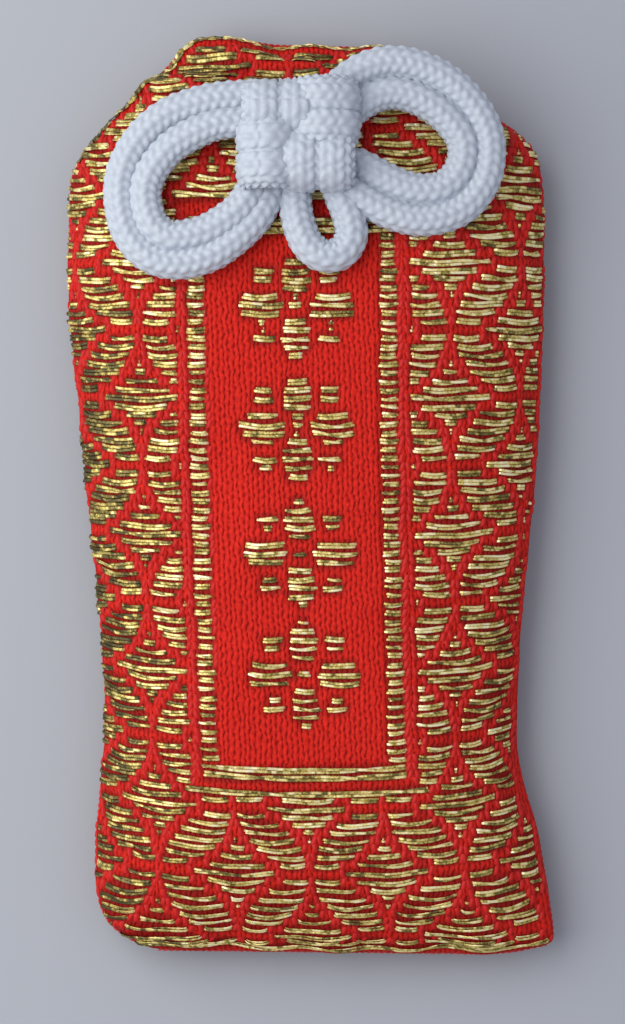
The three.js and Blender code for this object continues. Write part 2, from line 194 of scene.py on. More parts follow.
def eased(values, slopes, i, span, f):
    """A smooth curve from value i to the next one, with their slopes, at a share f of the span."""
    curve = values[i] + (values[i + 1] - values[i]) * f * f * (3 - 2 * f)
    return curve + slopes[i] * span * f * (1 - f) ** 2 - slopes[i + 1] * span * f * f * (1 - f)


def smooth_line(points, spacing):
    """Evenly spaced points on a smooth curve through the given points."""
    points = np.asarray(points, float)
    chords = np.linalg.norm(np.diff(points, axis=0), axis=1)
    knots = np.concatenate([[0], np.cumsum(np.sqrt(chords))])
    slopes = np.gradient(points, knots, axis=0)
    at = np.linspace(0, knots[-1], FINE_STEPS * len(points))
    i = np.clip(np.searchsorted(knots, at, side="right") - 1, 0, len(points) - 2)
    span = (knots[i + 1] - knots[i])[:, None]
    fine = eased(points, slopes, i, span, (at - knots[i])[:, None] / span)
    run = travelled(fine)
    even = np.linspace(0, run[-1], max(2, round(run[-1] / spacing) + 1))
    return np.column_stack([np.interp(even, run, fine[:, k]) for k in range(3)])


def unit(vectors):
    """Vectors of length one."""
    return vectors / np.linalg.norm(vectors, axis=-1, keepdims=True)


def length_of(line):
    """Length of a line from end to end."""
    return float(travelled(line)[-1])


# %% Tubes and braids
def tube_faces(rings, sides, first):
    """Quads and two end caps for a tube of rings, whose points start at index first."""
    ring, side = np.meshgrid(np.arange(rings - 1), np.arange(sides), indexing="ij")
    a = first + ring * sides + side
    b = first + ring * sides + (side + 1) % sides
    quads = np.stack([a, b, b + sides, a + sides], axis=-1).reshape(-1, 4).tolist()
    last = first + (rings - 1) * sides
    return quads + [list(range(first, first + sides))[::-1], list(range(last, last + sides))]


CORD_DIAMETER = 2.9
BEAD_COLUMNS = 10
BEAD_PITCH = 1.0
BEAD_RELIEF = 0.2
BEAD_LEAN = 0.4
BEAD_ROUND_ACROSS = 1.1
BEAD_ROUND_ALONG = 1.4
BEAD_NOISE_SHIFT = 3.3
SIDES_PER_COLUMN = 5
STEPS_PER_BEAD = 7


def braid(line, across, columns=BEAD_COLUMNS, width=1.0, height=1.0,
          first=0, pitch=BEAD_PITCH, relief=BEAD_RELIEF):
    """Points, faces and bead places of a braid along a line; across points to one side of it."""
    run = unit(np.gradient(line, axis=0))
    side = unit(across - (across * run).sum(axis=1, keepdims=True) * run)
    top = np.cross(side, run)
    along = travelled(line)[:, None]
    sides = columns * SIDES_PER_COLUMN
    around = np.arange(sides)[None, :] / SIDES_PER_COLUMN
    column = np.floor(around)
    in_column = around - column - 0.5
    odd = column % 2
    bead = along / pitch + BEAD_LEAN * in_column * (1 - 2 * odd) + 0.5 * odd
    in_bead = bead - np.floor(bead) - 0.5
    dome = np.cos(math.pi * in_column) ** BEAD_ROUND_ACROSS * np.cos(math.pi * in_bead) ** BEAD_ROUND_ALONG
    radius = CORD_DIAMETER / 2 - relief * (1 - dome)
    angle = 2 * math.pi * around / columns
    ring = (radius * np.cos(angle) * width)[..., None] * side[:, None]
    ring = line[:, None] + ring + (radius * np.sin(angle) * height)[..., None] * top[:, None]
    own_noise = column + BEAD_NOISE_SHIFT * np.floor(bead)
    places = np.stack(np.broadcast_arrays(along, in_bead * pitch, own_noise), axis=-1)
    return ring.reshape(-1, 3), tube_faces(len(line), sides, first), places.reshape(-1, 3)


STEP = BEAD_PITCH / STEPS_PER_BEAD
print("braid step:", round(STEP, 3), "mm")

# %% [markdown]
# The braid is white silk-like yarn with a cool cast. Each bead is a bundle of fine filaments, so the
# finish has faint lines along the bead and a soft gloss. Subsurface scattering would suit the yarn, but
# where pressed strands overlap it leaves dark lines between them, so the finish does without it.

# %% Node helpers
def store_places(piece, name, places):
    """Keeps a vector for each point of the mesh, for a material to read."""
    layer = piece.data.attributes.new(name, "FLOAT_VECTOR", "POINT")
    layer.data.foreach_set("vector", np.asarray(places, np.float32).ravel())


def feed(links, socket, value):
    """Links another node's output to an input, or sets the input to a plain value."""
    if isinstance(value, bpy.types.NodeSocket):
        links.new(value, socket)
    else:
        socket.default_value = value


def math_node(nodes, links, operation, first, second=None):
    """One Math node; its inputs are sockets or plain numbers."""
    node = nodes.new("ShaderNodeMath")
    node.operation = operation
    for socket, value in zip(node.inputs, (first, second)):
        if value is not None:
            feed(links, socket, value)
    return node.outputs["Value"]


def stored_place(nodes, name):
    """Reads a vector that is kept on the mesh."""
    attribute = nodes.new("ShaderNodeAttribute")
    attribute.attribute_name = name
    return attribute.outputs["Vector"]


def split_vector(nodes, links, vector):
    """The X, Y and Z of a vector."""
    parts = nodes.new("ShaderNodeSeparateXYZ")
    links.new(vector, parts.inputs["Vector"])
    return parts.outputs


def add_bump(nodes, links, shader, height, strength, depth):
    """Roughens a shader's surface with a height; the depth is in millimetres."""
    bump = nodes.new("ShaderNodeBump")
    bump.inputs["Strength"].default_value = strength
    bump.inputs["Distance"].default_value = depth * MM
    links.new(height, bump.inputs["Height"])
    links.new(bump.outputs["Normal"], shader.inputs["Normal"])


# %% Cord yarn
FILAMENT_TURNS = 40.0
FILAMENT_WANDER = 6.0
cord_yarn, nodes, links, shader = start_material("cord_yarn", 0.42)
bead_place = stored_place(nodes, "bead_place")
fuzz = noise_node(nodes, links, 1.3, place=bead_place)
wander = math_node(nodes, links, "MULTIPLY", fuzz, FILAMENT_WANDER)
turns = math_node(nodes, links, "MULTIPLY", split_vector(nodes, links, bead_place)["Y"], FILAMENT_TURNS)
filament = math_node(nodes, links, "SINE", math_node(nodes, links, "ADD", turns, wander))
yarn_colour = colour_ramp(nodes, links, fuzz, [
    (0.3, (0.44, 0.5, 0.575)),
    (0.7, (0.505, 0.56, 0.63)),
])
links.new(yarn_colour, shader.inputs["Base Color"])
add_bump(nodes, links, shader, filament, strength=0.25, depth=0.02)
shader.inputs["Sheen Weight"].default_value = 0.15
shader.inputs["Specular IOR Level"].default_value = 0.45
print("cord yarn nodes:", len(nodes))

# %% [markdown]
# ## The bow's loops
# The bow is a doubled cord, so each side has an outer and an inner loop that lie against each other, and
# one small loop hangs below the knot. The routes are those of the solids, with ends that run on under the
# knot. Solids need a gap between them, but real strands press together. So each outer loop is drawn in
# towards its hole by a little, and each inner loop is moved until it lies against the outer one. The
# loops could be curves with a bevel, but a bevel has no beads.

# %% Loop routes, from the middle of the knot
KNOT = np.array([-0.3, 33.1, 8.75])
LOOP_LEVEL = 1.15
LOOP_DROOP = 0.6
DROOP_START = 6
DROOP_LENGTH = 12
LEFT_OUTER = [
    (-0.6, 3.6), (-2.6, 4.7), (-5.2, 4.85), (-6.9, 4.8), (-9.0, 4.5), (-12.4, 3.2), (-15.3, 0.6),
    (-17.0, -2.7), (-17.25, -5.3), (-16.5, -8.7), (-14.6, -11.0), (-11.8, -11.9), (-8.5, -11.2),
    (-5.7, -9.2), (-3.9, -7.2), (-3.0, -5.3), (-2.2, -3.6), (-0.9, -2.2),
]
LEFT_INNER = [
    (-1.0, 1.9), (-3.2, 2.1), (-5.2, 2.15), (-6.9, 2.05), (-8.7, 1.75), (-11.5, 0.55), (-13.7, -1.9),
    (-14.6, -5.1), (-14.0, -7.5), (-12.0, -9.1), (-9.3, -8.55), (-7.4, -7.0), (-6.0, -5.6),
    (-4.8, -4.4), (-3.7, -3.0), (-3.2, -1.6),
]
RIGHT_OUTER = [
    (1.6, 2.6), (3.0, 4.6), (4.6, 6.0), (6.7, 6.9), (9.8, 7.1), (13.3, 5.9), (16.3, 3.3), (17.9, 0.5),
    (18.2, -1.5), (17.5, -4.7), (15.3, -7.3), (11.7, -8.5), (8.9, -8.1), (7.2, -7.35), (5.7, -6.4),
    (4.2, -5.2), (2.8, -4.0),
]
RIGHT_INNER = [
    (3.2, 1.0), (4.8, 2.5), (6.4, 3.6), (7.9, 4.15), (9.7, 4.3), (12.4, 3.2), (14.6, 0.8), (15.4, -1.7),
    (14.5, -4.1), (11.9, -5.6), (9.1, -5.1), (7.1, -4.1), (5.3, -3.3), (3.6, -2.8), (1.8, -2.8),
]
HANG_LOOP = [
    (-2.2, 3.2), (-1.4, 0.0), (-0.7, -3.6), (-0.4, -6.2), (-0.4, -7.1), (-0.1, -8.5), (0.8, -10.4),
    (2.3, -11.3), (3.8, -10.8), (4.4, -9.3), (3.8, -7.6), (2.9, -6.2), (2.0, -3.6), (1.0, 0.0), (0.1, 3.2),
]


def loop_line(route):
    """A route in plan laid on the cloth, drooping towards the side edges."""
    x, y = np.array(route).T
    reach = np.maximum((np.abs(x) - DROOP_START) / DROOP_LENGTH, 0)
    height = LOOP_LEVEL - LOOP_DROOP * reach * reach
    return smooth_line(KNOT + np.column_stack([x, y, height]), STEP)


# %% Press the loops together
INNER_LIFT = 0.3
ROUTE_EVERY = 12
SIDE_BY_SIDE = 3.5
SIDE_BY_SIDE_FADE = 0.4
END_FADE = 4
# How far a loop is drawn in, and how far apart two strands run, at even shares of the loop's length.
SHARES = np.linspace(0, 1, 11)
LEFT_DRAWN_IN = (0.8, 0.9, 0.9, 0.6, 0.45, 0.4, 0.4, 0.4, 0.2, 0, 0)
RIGHT_DRAWN_IN = (0.7, 0.65, 0.35, 0.35, 0.3, 0.35, 0.25, 0.25, 0.45, 0.5, 0.3)
HANG_DRAWN_IN = (0, 0, 0, 0, 0, 0, -0.35, -1.1, -1.2, -0.8, 0)
LEFT_APART = (2.3, 2.3, 2.4, 2.8, 2.7, 2.35, 2.35, 2.4, 1.9, 1.5, 1.5)
RIGHT_APART = (2.6, 2.7, 2.9, 2.9, 2.7, 2.3, 2.55, 2.8, 2.7, 2.4, 2.4)


def drawn_in(line, moves, side):
    """A loop moved towards its hole, on the given side of its run, by distances along its length."""
    run = unit(np.gradient(line, axis=0))
    to_hole = np.cross((0, 0, side), run)
    share = np.linspace(0, 1, len(line))
    moved = line + to_hole * np.interp(share, SHARES, moves)[:, None]
    return smooth_line(moved[::ROUTE_EVERY], STEP)


def pressed_to(line, outer, apart_by):
    """An inner loop moved to lie at given distances from the outer one, where they run side by side."""
    apart = line[:, None, :2] - outer[None, :, :2]
    distance = np.linalg.norm(apart, axis=2)
    rows = np.arange(len(line))
    nearest = distance.argmin(axis=1)
    least = distance[rows, nearest]
    gap = least - np.interp(rows / rows[-1], SHARES, apart_by)
    side_by_side = np.clip((SIDE_BY_SIDE - least) / SIDE_BY_SIDE_FADE, 0, 1)
    fade = np.clip(np.minimum(rows, rows[::-1]) * STEP / END_FADE, 0, 1)
    towards = -apart[rows, nearest] / least[:, None]
    moved = line.copy()
    moved[:, :2] += towards * (gap * side_by_side * fade)[:, None]
    return smooth_line(moved[::ROUTE_EVERY], STEP)


left_outer = drawn_in(loop_line(LEFT_OUTER), LEFT_DRAWN_IN, 1)
right_outer = drawn_in(loop_line(RIGHT_OUTER), RIGHT_DRAWN_IN, -1)
left_inner = pressed_to(loop_line(LEFT_INNER), left_outer, LEFT_APART) + (0, 0, INNER_LIFT)
right_inner = pressed_to(loop_line(RIGHT_INNER), right_outer, RIGHT_APART)
hanging = drawn_in(loop_line(HANG_LOOP), HANG_DRAWN_IN, 1)
print("outer loops:", round(length_of(left_outer), 1), "and", round(length_of(right_outer), 1), "mm")

# %% Lay the loops
LOOP_FULLNESS = 1.15
BEND_BEFORE = 0.8
BEND_AFTER = 2.2
HANG_BEND_AFTER = 2.0
JOINTS = {joint["name"]: joint for joint in frame["joints"]}


def cord_loop(name, line, node, body, hinge_start, hinge_end):
    """One loop of the bow: braided and laid in place of its solid; its body and hinge points are not used."""
    across = np.cross(np.gradient(line, axis=0), (0, 0, 1))
    points, faces, places = braid(line, across, width=LOOP_FULLNESS)
    piece = add_piece(name, points, faces, cord_yarn)
    store_places(piece, "bead_place", places)
    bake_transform(piece)
    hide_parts(node)
    print(name, round(length_of(line), 1), "mm,", len(points), "points")


def hinge_span(joint_name, direction, before, after):
    """Two points across a joint, from its knot side to its loop side."""
    place = np.array(JOINTS[joint_name]["pos_m"])
    return place - np.array(direction) * before * MM, place + np.array(direction) * after * MM


left_span = hinge_span("left_loops_lift", (-0.98, -0.19, 0), BEND_BEFORE, BEND_AFTER)
right_span = hinge_span("right_loops_lift", (1.0, 0.08, 0), BEND_BEFORE, BEND_AFTER)
hang_span = hinge_span("hang_loop_lift", (0, -1, 0), BEND_BEFORE, HANG_BEND_AFTER)
cord_loop("left_outer_loop", left_outer, "left_loop_outer", "left_loops", *left_span)
cord_loop("left_inner_loop", left_inner, "left_loop_inner", "left_loops", *left_span)
cord_loop("right_outer_loop", right_outer, "right_loop_outer", "right_loops", *right_span)
cord_loop("right_inner_loop", right_inner, "right_loop_inner", "right_loops", *right_span)
cord_loop("small_hanging_loop", hanging, "hang_loop", "hang_loop", *hang_span)

# %% [markdown]
# ## The knot
# The knot is a square of four pairs of strands. Each pair comes over one edge, runs across the front and
# goes down under the next pair, like the blades of a pinwheel. Each strand is a braid pulled flat by its
# neighbours, so it is swept wider than it is high, with more and smaller beads. A cord could be led
# through the whole knot, but only the stretch of each strand that shows is needed.

# %% Knot strands
FRONT_LEVEL = 4.3
UNDER_LEVEL = 2.1
BACK_LEVEL = 1.15
KNOT_TURN = math.radians(-1.7)
FLAT_WIDTH = 1.56
FLAT_HEIGHT = 0.77
KNOT_COLUMNS = 14
KNOT_BEAD_PITCH = 0.85
KNOT_BEAD_RELIEF = 0.24
TAIL = 1.6
ROUND_IN, ROUND_UP = 0.3, 0.72
CROWN_OUT, CROWN_UP = 0.4, 0.15
DIVE_SLOPE = [(0.2, FRONT_LEVEL - 0.35), (-0.9, UNDER_LEVEL + 0.5), (-2.2, UNDER_LEVEL)]


def pair_profile(reach, dive):
    """Outward distance and height of a strand that comes over an edge and dives under the next pair."""
    edge = reach - CORD_DIAMETER / 2 * FLAT_HEIGHT
    turn = (FRONT_LEVEL - BACK_LEVEL) / 2
    mid = (FRONT_LEVEL + BACK_LEVEL) / 2
    return [
        (edge - turn - TAIL, BACK_LEVEL),
        (edge - turn, BACK_LEVEL),
        (edge - ROUND_IN * turn, mid - ROUND_UP * turn),
        (edge, mid),
        (edge - ROUND_IN * turn, mid + ROUND_UP * turn),
        (edge - turn, FRONT_LEVEL),
        ((edge - turn + dive) / 2 + CROWN_OUT, FRONT_LEVEL + CROWN_UP),
        *[(dive + step, level) for step, level in DIVE_SLOPE],
    ]


# Each pair: its outward way, its sideways way, both strands' offsets sideways, its reach and where it dives.
KNOT_PAIRS = [
    ((0, 1), (1, 0), (-3.1, -0.15), 5.3, 1.0),
    ((1, 0), (0, 1), (3.2, 0.8), 6.0, 0.5),
    ((0, -1), (1, 0), (0.4, 3.2), 5.6, 0.8),
    ((-1, 0), (0, 1), (-0.5, -3.1), 5.95, 1.3),
]

# %% Tie the knot
knot_points, knot_faces, knot_places = [], [], []
knot_count = 0
cos_turn, sin_turn = math.cos(KNOT_TURN), math.sin(KNOT_TURN)
turned = np.array([[cos_turn, sin_turn, 0], [-sin_turn, cos_turn, 0], [0, 0, 1]])
for outward, sideways, offsets, reach, dive in KNOT_PAIRS:
    for offset in offsets:
        profile = pair_profile(reach, dive)
        strand = [(*(np.array(outward) * p + np.array(sideways) * offset), z) for p, z in profile]
        line = smooth_line(KNOT + np.array(strand) @ turned, STEP)
        across = np.broadcast_to(np.array([*sideways, 0.0]) @ turned, line.shape)
        points, faces, places = braid(
            line, across, KNOT_COLUMNS, FLAT_WIDTH, FLAT_HEIGHT,
            first=knot_count, pitch=KNOT_BEAD_PITCH, relief=KNOT_BEAD_RELIEF,
        )
        knot_count += len(points)
        knot_points.append(points)
        knot_faces += faces
        knot_places.append(places)
knot_piece = add_piece("square_knot", np.concatenate(knot_points), knot_faces, cord_yarn)
store_places(knot_piece, "bead_place", np.concatenate(knot_places))
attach(knot_piece, "bow")
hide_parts("bow_knot")
print("knot points:", knot_count)

# %% [markdown]
# ## The shape of the pouch
# The pouch is two pieces of cloth with their edges turned in and sewn together, over a pad. Seen from
# above it has cut corners at the mouth, broad shoulders and a drawn-in waist, and its foot flares to the
# right. The outline repeats the solid's stations. A plane could be cut to it and subdivided, but a grid
# laid out by code keeps its rows along the weave. The cloth swells from the seam, and it is laid out by
# the length along the cloth and not by its shadow on the table, so the woven pattern crowds towards the
# edges as it does on a real pillow. The rows of the weave also ride up towards both sides.

# %% Outline and swell of the pouch
TOP = 43.0
SEAM_LEVEL = 3.2
FRONT_TOP = 8.5
SIDE_FLATNESS = 4
END_FLATNESS = 6
UPPER_SIDE = [(4, 21.55), (22, 22.8), (30.5, 22.5), (34, 19.95)]
LEFT_SIDE = [(-43, 16.6), (-40, 20.6), (-34, 21.5), (-19, 20.2), *UPPER_SIDE, (43, 10)]
RIGHT_SIDE = [(-43, 21.7), (-40, 21.5), (-34, 20.8), (-19, 19.05), *UPPER_SIDE, (43, 9)]


def side_at(stations, level):
    """Half width of the pouch on one side, at any level."""
    levels, widths = np.array(stations, float).T
    ends = np.clip(np.arange(len(levels))[:, None] + (-1, 1), 0, len(levels) - 1)
    slopes = (widths[ends[:, 1]] - widths[ends[:, 0]]) / (levels[ends[:, 1]] - levels[ends[:, 0]])
    i = np.clip(np.searchsorted(levels, level, side="right") - 1, 0, len(levels) - 2)
    span = levels[i + 1] - levels[i]
    return eased(widths, slopes, i, span, np.clip((level - levels[i]) / span, 0, 1))


def half_width(across, level):
    """Half width of the pouch on the side that across is on."""
    return np.where(across < 0, side_at(LEFT_SIDE, level), side_at(RIGHT_SIDE, level))


def swell(across, along):
    """How far the cloth stands off the seam: 0 at the edge, 1 in the middle."""
    from_sides = np.maximum(1 - np.abs(across) ** SIDE_FLATNESS, 0)
    from_ends = np.maximum(1 - np.abs(along) ** END_FLATNESS, 0)
    return np.sqrt(from_sides * from_ends)


def ramp(value, start, length):
    """0 up to a start, then rising to 1 over a length."""
    return np.clip((value - start) / length, 0, 1)


def hump(value, middle, width):
    """1 at the middle, falling away on both sides."""
    return np.exp(-(((value - middle) / width) ** 2))


# %% How the pouch is sewn out of true
END_SLANT = 0.042
FOOT_SLACK = 0.35
MOUTH_CORNER = 0.75
RIGHT_SHOULDER = 1.0
FOOT_CORNER = 1.1
RIGHT_WAIST = 0.7
LEFT_SHOULDER = 0.5


def end_share(level):
    """0 over the middle of the pouch, rising to 1 at the foot and at the mouth."""
    return ramp(np.abs(level), 20, 23)


def slanted(points):
    """Foot and mouth are sewn out of square; three corners are drawn up, a waist and a shoulder in."""
    x, y = points[..., 0], points[..., 1]
    mouth_corner = MOUTH_CORNER * hump(x, -8.5, 5) * ramp(y, 33, 10) ** 2
    shoulder = RIGHT_SHOULDER * hump(x, 20, 5) * hump(y, 31, 6)
    foot_corner = FOOT_CORNER * ramp(x, 14.5, 7) ** 2 * ramp(-y, 33, 9) ** 2
    waist = RIGHT_WAIST * hump(y, -26, 5) * ramp(x, 6, 13) ** 2
    left_shoulder = LEFT_SHOULDER * hump(y, 27.5, 5) * ramp(-x, 6, 13) ** 2
    moved = points.copy()
    moved[..., 0] += left_shoulder - waist
    moved[..., 1] += mouth_corner + shoulder + foot_corner - END_SLANT * x * end_share(y) ** 2
    moved[..., 1] -= FOOT_SLACK * ramp(-y, 30, 13)
    return moved


# %% Puckers and dents
PUCKER, PUCKER_PITCH, PUCKER_REACH = 0.14, 5.3, 2.2
GATHER, GATHER_PITCH, GATHER_REACH = 0.24, 6.7, 2.0
HIP_FOLD, HIP_FOLD_WIDTH, HIP_FOLD_LENGTH = 0.55, 1.3, 7
MOUTH_FOLD, MOUTH_FOLD_PITCH = 0.3, 3.3


def ripple(place, pitch, phase):
    """An uneven wave: two pitches that drift in and out of step."""
    return 0.6 * np.sin(2 * math.pi * place / pitch + phase) + 0.4 * np.sin(6.1 * place / pitch + 2.3 * phase)


def relief(x, y, inside_side, inside_end):
    """Unevenness of the padded front: slow dents, puckers along the seams and a fold at the left hip."""
    dents = 0.09 * ripple(x + 0.4 * y, 17, 0.7) + 0.07 * ripple(y - 0.3 * x, 13, 2.1)
    puckers = PUCKER * ripple(y, PUCKER_PITCH, 1.1 + 0.05 * x) * np.exp(-inside_side / PUCKER_REACH)
    gathers = GATHER * ripple(x, GATHER_PITCH, 0.4) * np.exp(-inside_end / GATHER_REACH)
    across_fold = (x + 20.2) * 0.75 + (y + 29) * 0.35
    along_fold = (x + 17.5) * 0.4 - (y + 33) * 0.9
    hip_fold = -HIP_FOLD * hump(across_fold, 0, HIP_FOLD_WIDTH) * hump(along_fold, 0, HIP_FOLD_LENGTH)
    waver = y + 0.12 * x + 0.5 * np.sin(x / 4)
    mouth_folds = MOUTH_FOLD * np.sin(2 * math.pi * waver / MOUTH_FOLD_PITCH)
    mouth_folds = mouth_folds * ramp(y, 35.5, 4) * ramp(inside_end, 0, 1.5)
    return dents + puckers + gathers + hip_fold + mouth_folds


# %% Lay the cloth
CLOTH_ROWS = 330
CLOTH_COLUMNS = 210
FINE_LEVELS = 801
FINE_SHARES = 401
RIDE_LEVELS = [-43, -41, -36, -27, -12, 5, 20, 34, 43]
RIDE_RISE = [0.0, 0.8, 2.2, 2.3, 1.4, 0.9, 0.6, 0.3, 0.0]
RIDE_POWER = 2.6
SEAM_CLEARANCE = 0.05
SEAM_GROOVE = 0.35
GROOVE_HEIGHT = 0.3
RIM_HEIGHT = 1.2
BACK_PRESSED = 0.5


def above_table(points):
    """Points with none of them under the table."""
    return np.maximum(points, (-np.inf, -np.inf, 0))


def lay_cloth(base, rise, uneven):
    """A grid of cloth points, its normals and its lengths along and across the weave."""
    level = TOP * np.sin(np.linspace(-math.pi / 2, math.pi / 2, FINE_LEVELS))
    along = travelled(np.column_stack([level, rise * swell(0, level / TOP)]))
    along -= np.interp(0, level, along)
    weft = np.linspace(along[0], along[-1], CLOTH_ROWS + 1)
    share = np.linspace(-1, 1, CLOTH_COLUMNS + 1)
    fine = np.sin(np.linspace(-math.pi / 2, math.pi / 2, FINE_SHARES))
    points = np.zeros((CLOTH_ROWS + 1, CLOTH_COLUMNS + 1, 3))
    reach = np.zeros((CLOTH_ROWS + 1, 2))
    for row, y in enumerate(np.interp(weft, along, level)):
        cut = travelled(np.column_stack([fine * half_width(fine, y), rise * swell(fine, y / TOP)]))
        cut -= np.interp(0, fine, cut)
        reach[row] = -cut[0], cut[-1]
        across = np.interp(share * np.where(share < 0, -cut[0], cut[-1]), cut, fine)
        ride = np.interp(y, RIDE_LEVELS, RIDE_RISE) * np.abs(share) ** RIDE_POWER
        level_here = np.clip(y + ride, -TOP, TOP)
        height = base + rise * swell(across, level_here / TOP)
        groove = SEAM_GROOVE * np.exp(-np.abs(height - base) / GROOVE_HEIGHT)
        x = across * (half_width(across, level_here) - groove * np.abs(across) ** 8)
        level_here = level_here * (1 - groove / TOP * np.abs(level_here / TOP) ** 16)
        points[row] = np.column_stack([x, level_here, height])
    if uneven:
        x, y, z = np.moveaxis(points, -1, 0)
        inside_side = np.maximum(half_width(x, y) - np.abs(x), 0)
        bump = relief(x, y, inside_side, TOP - np.abs(y)) * ramp(z, base, RIM_HEIGHT)
        points = points + cloth_normals(points, rise) * bump[..., None]
    points = slanted(above_table(points))
    return {"points": points, "normals": cloth_normals(points, rise), "weft": weft, "reach": reach}


def cloth_normals(points, rise):
    """Normals of a grid, towards the outside of the pouch."""
    facing = np.cross(np.gradient(points, axis=1), np.gradient(points, axis=0))
    length = np.maximum(np.linalg.norm(facing, axis=-1, keepdims=True), 1e-9)
    return facing / length * (1 if rise > 0 else -1)


front_lay = lay_cloth(SEAM_LEVEL + SEAM_CLEARANCE, FRONT_TOP - SEAM_LEVEL - SEAM_CLEARANCE, True)
back_lay = lay_cloth(SEAM_LEVEL - SEAM_CLEARANCE, -(SEAM_LEVEL + BACK_PRESSED), False)
print("front cloth, along the weave:", np.round(front_lay["weft"][[0, -1]], 1))

# %% [markdown]
# Brocade is cut a little larger than the pad, so it never lies quite smooth: it puckers where the seam
# gathers it and dents where the pad gives way. Waves could be drawn for that, but a Cloth simulation
# finds them from the shape itself. A coarse closed bag of both sides is held at its seam and at the back,
# grown by a few hundredths and blown up with a little pressure. The solver suits things about a metre
# long, so the bag is made ten times too large. The pad keeps the crown where it is, so only the
# unevenness is taken over, straight out of the cloth, and the woven pattern stays where it was.

# %% Grids
def grid_faces(rows, columns):
    """Faces of a grid of points, counted row by row."""
    r, c = np.meshgrid(np.arange(rows - 1), np.arange(columns - 1), indexing="ij")
    a = (r * columns + c).ravel()
    return np.stack([a, a + 1, a + columns + 1, a + columns], axis=-1)


def grid_rim(rows, columns):
    """Points round the edge of a grid, in order."""
    return np.concatenate([
        np.arange(columns),
        np.arange(1, rows) * columns + columns - 1,
        (rows - 1) * columns + np.arange(columns - 2, -1, -1),
        np.arange(rows - 2, 0, -1) * columns,
    ])


def closed_faces(rows, columns):
    """Faces of two grids joined round their edges, the first on top."""
    faces = grid_faces(rows, columns)
    rim = grid_rim(rows, columns)
    ahead = np.roll(rim, -1)
    below = rows * columns
    sides = np.stack([rim + below, ahead + below, ahead, rim], axis=-1)
    return np.concatenate([faces, faces[:, ::-1] + below, sides])


def spread_out(grid, passes):
    """A grid of values smoothed by repeated averaging of neighbours."""
    for _ in range(passes):
        for axis in (0, 1):
            ends = [(1, 1) if k == axis else (0, 0) for k in range(grid.ndim)]
            wide = np.pad(grid, ends, mode="edge")
            grid = (wide.take(range(0, wide.shape[axis] - 2), axis) + 2 * grid
                    + wide.take(range(2, wide.shape[axis]), axis)) / 4
    return grid


# %% Let the padded cloth settle
SETTLE_SCALE = 0.01
SETTLE_FRAMES = 20
SETTLE_CAP = 0.45
SETTLE_SMOOTHING = 40
FINE_SMOOTHING = 5
COARSE = 5


def settled(front, back):
    """How far each point of the front moves when the bag is blown up, without the rise of the whole."""
    front, back = front[::COARSE, ::COARSE], back[::COARSE, ::COARSE]
    rows, columns = front.shape[:2]
    start = np.concatenate([front.reshape(-1, 3), back.reshape(-1, 3)]) * SETTLE_SCALE
    mesh = bpy.data.meshes.new("bag")
    mesh.from_pydata(start.tolist(), [], closed_faces(rows, columns).tolist())
    bag = bpy.data.objects.new("bag", mesh)
    scene.collection.objects.link(bag)
    held = bag.vertex_groups.new(name="held")
    held.add(grid_rim(rows, columns).tolist() + list(range(rows * columns, len(start))), 1.0, "REPLACE")
    cloth = bag.modifiers.new("padded", "CLOTH")
    cloth.settings.quality = 6
    cloth.settings.bending_stiffness = 0.6
    cloth.settings.use_pressure = True
    cloth.settings.uniform_pressure_force = 2
    cloth.settings.shrink_min = -0.03
    cloth.settings.vertex_group_mass = "held"
    cloth.settings.effector_weights.gravity = 0
    cloth.point_cache.frame_end = SETTLE_FRAMES
    for frame_number in range(1, SETTLE_FRAMES + 1):
        scene.frame_set(frame_number)
    result = bag.evaluated_get(bpy.context.evaluated_depsgraph_get()).data
    end = np.zeros(start.size, np.float32)
    result.vertices.foreach_get("co", end)
    scene.frame_set(1)
    bpy.data.objects.remove(bag)
    moved = ((end.reshape(-1, 3) - start) / SETTLE_SCALE)[:rows * columns].reshape(rows, columns, 3)
    uneven = moved - spread_out(moved, SETTLE_SMOOTHING)
    length = np.maximum(np.linalg.norm(uneven, axis=-1, keepdims=True), 1e-6)
    print("settled by", round(float(np.abs(moved).max()), 2), "mm")
    print("uneven by", round(float(length.max()), 2), "mm")
    return uneven * (SETTLE_CAP * np.tanh(length / SETTLE_CAP) / length)


def finer(grid, shape):
    """Values on a coarse grid drawn out to a fine one."""
    rows, columns = (np.linspace(0, n - 1, m) for n, m in zip(grid.shape, shape))
    r, c = (np.minimum(k.astype(int), n - 2) for k, n in zip((rows, columns), grid.shape))
    fr, fc = (rows - r)[:, None, None], (columns - c)[None, :, None]
    low = grid[r][:, c] * (1 - fc) + grid[r][:, c + 1] * fc
    high = grid[r + 1][:, c] * (1 - fc) + grid[r + 1][:, c + 1] * fc
    return spread_out(low * (1 - fr) + high * fr, FINE_SMOOTHING)


uneven = finer(settled(front_lay["points"], back_lay["points"]), front_lay["points"].shape[:2])
above_seam = ramp(front_lay["points"][..., 2], SEAM_LEVEL, RIM_HEIGHT)[..., None]
outward = (uneven * front_lay["normals"]).sum(axis=-1, keepdims=True)
front_lay["points"] = front_lay["points"] + front_lay["normals"] * outward * above_seam
front_lay["normals"] = cloth_normals(front_lay["points"], 1)
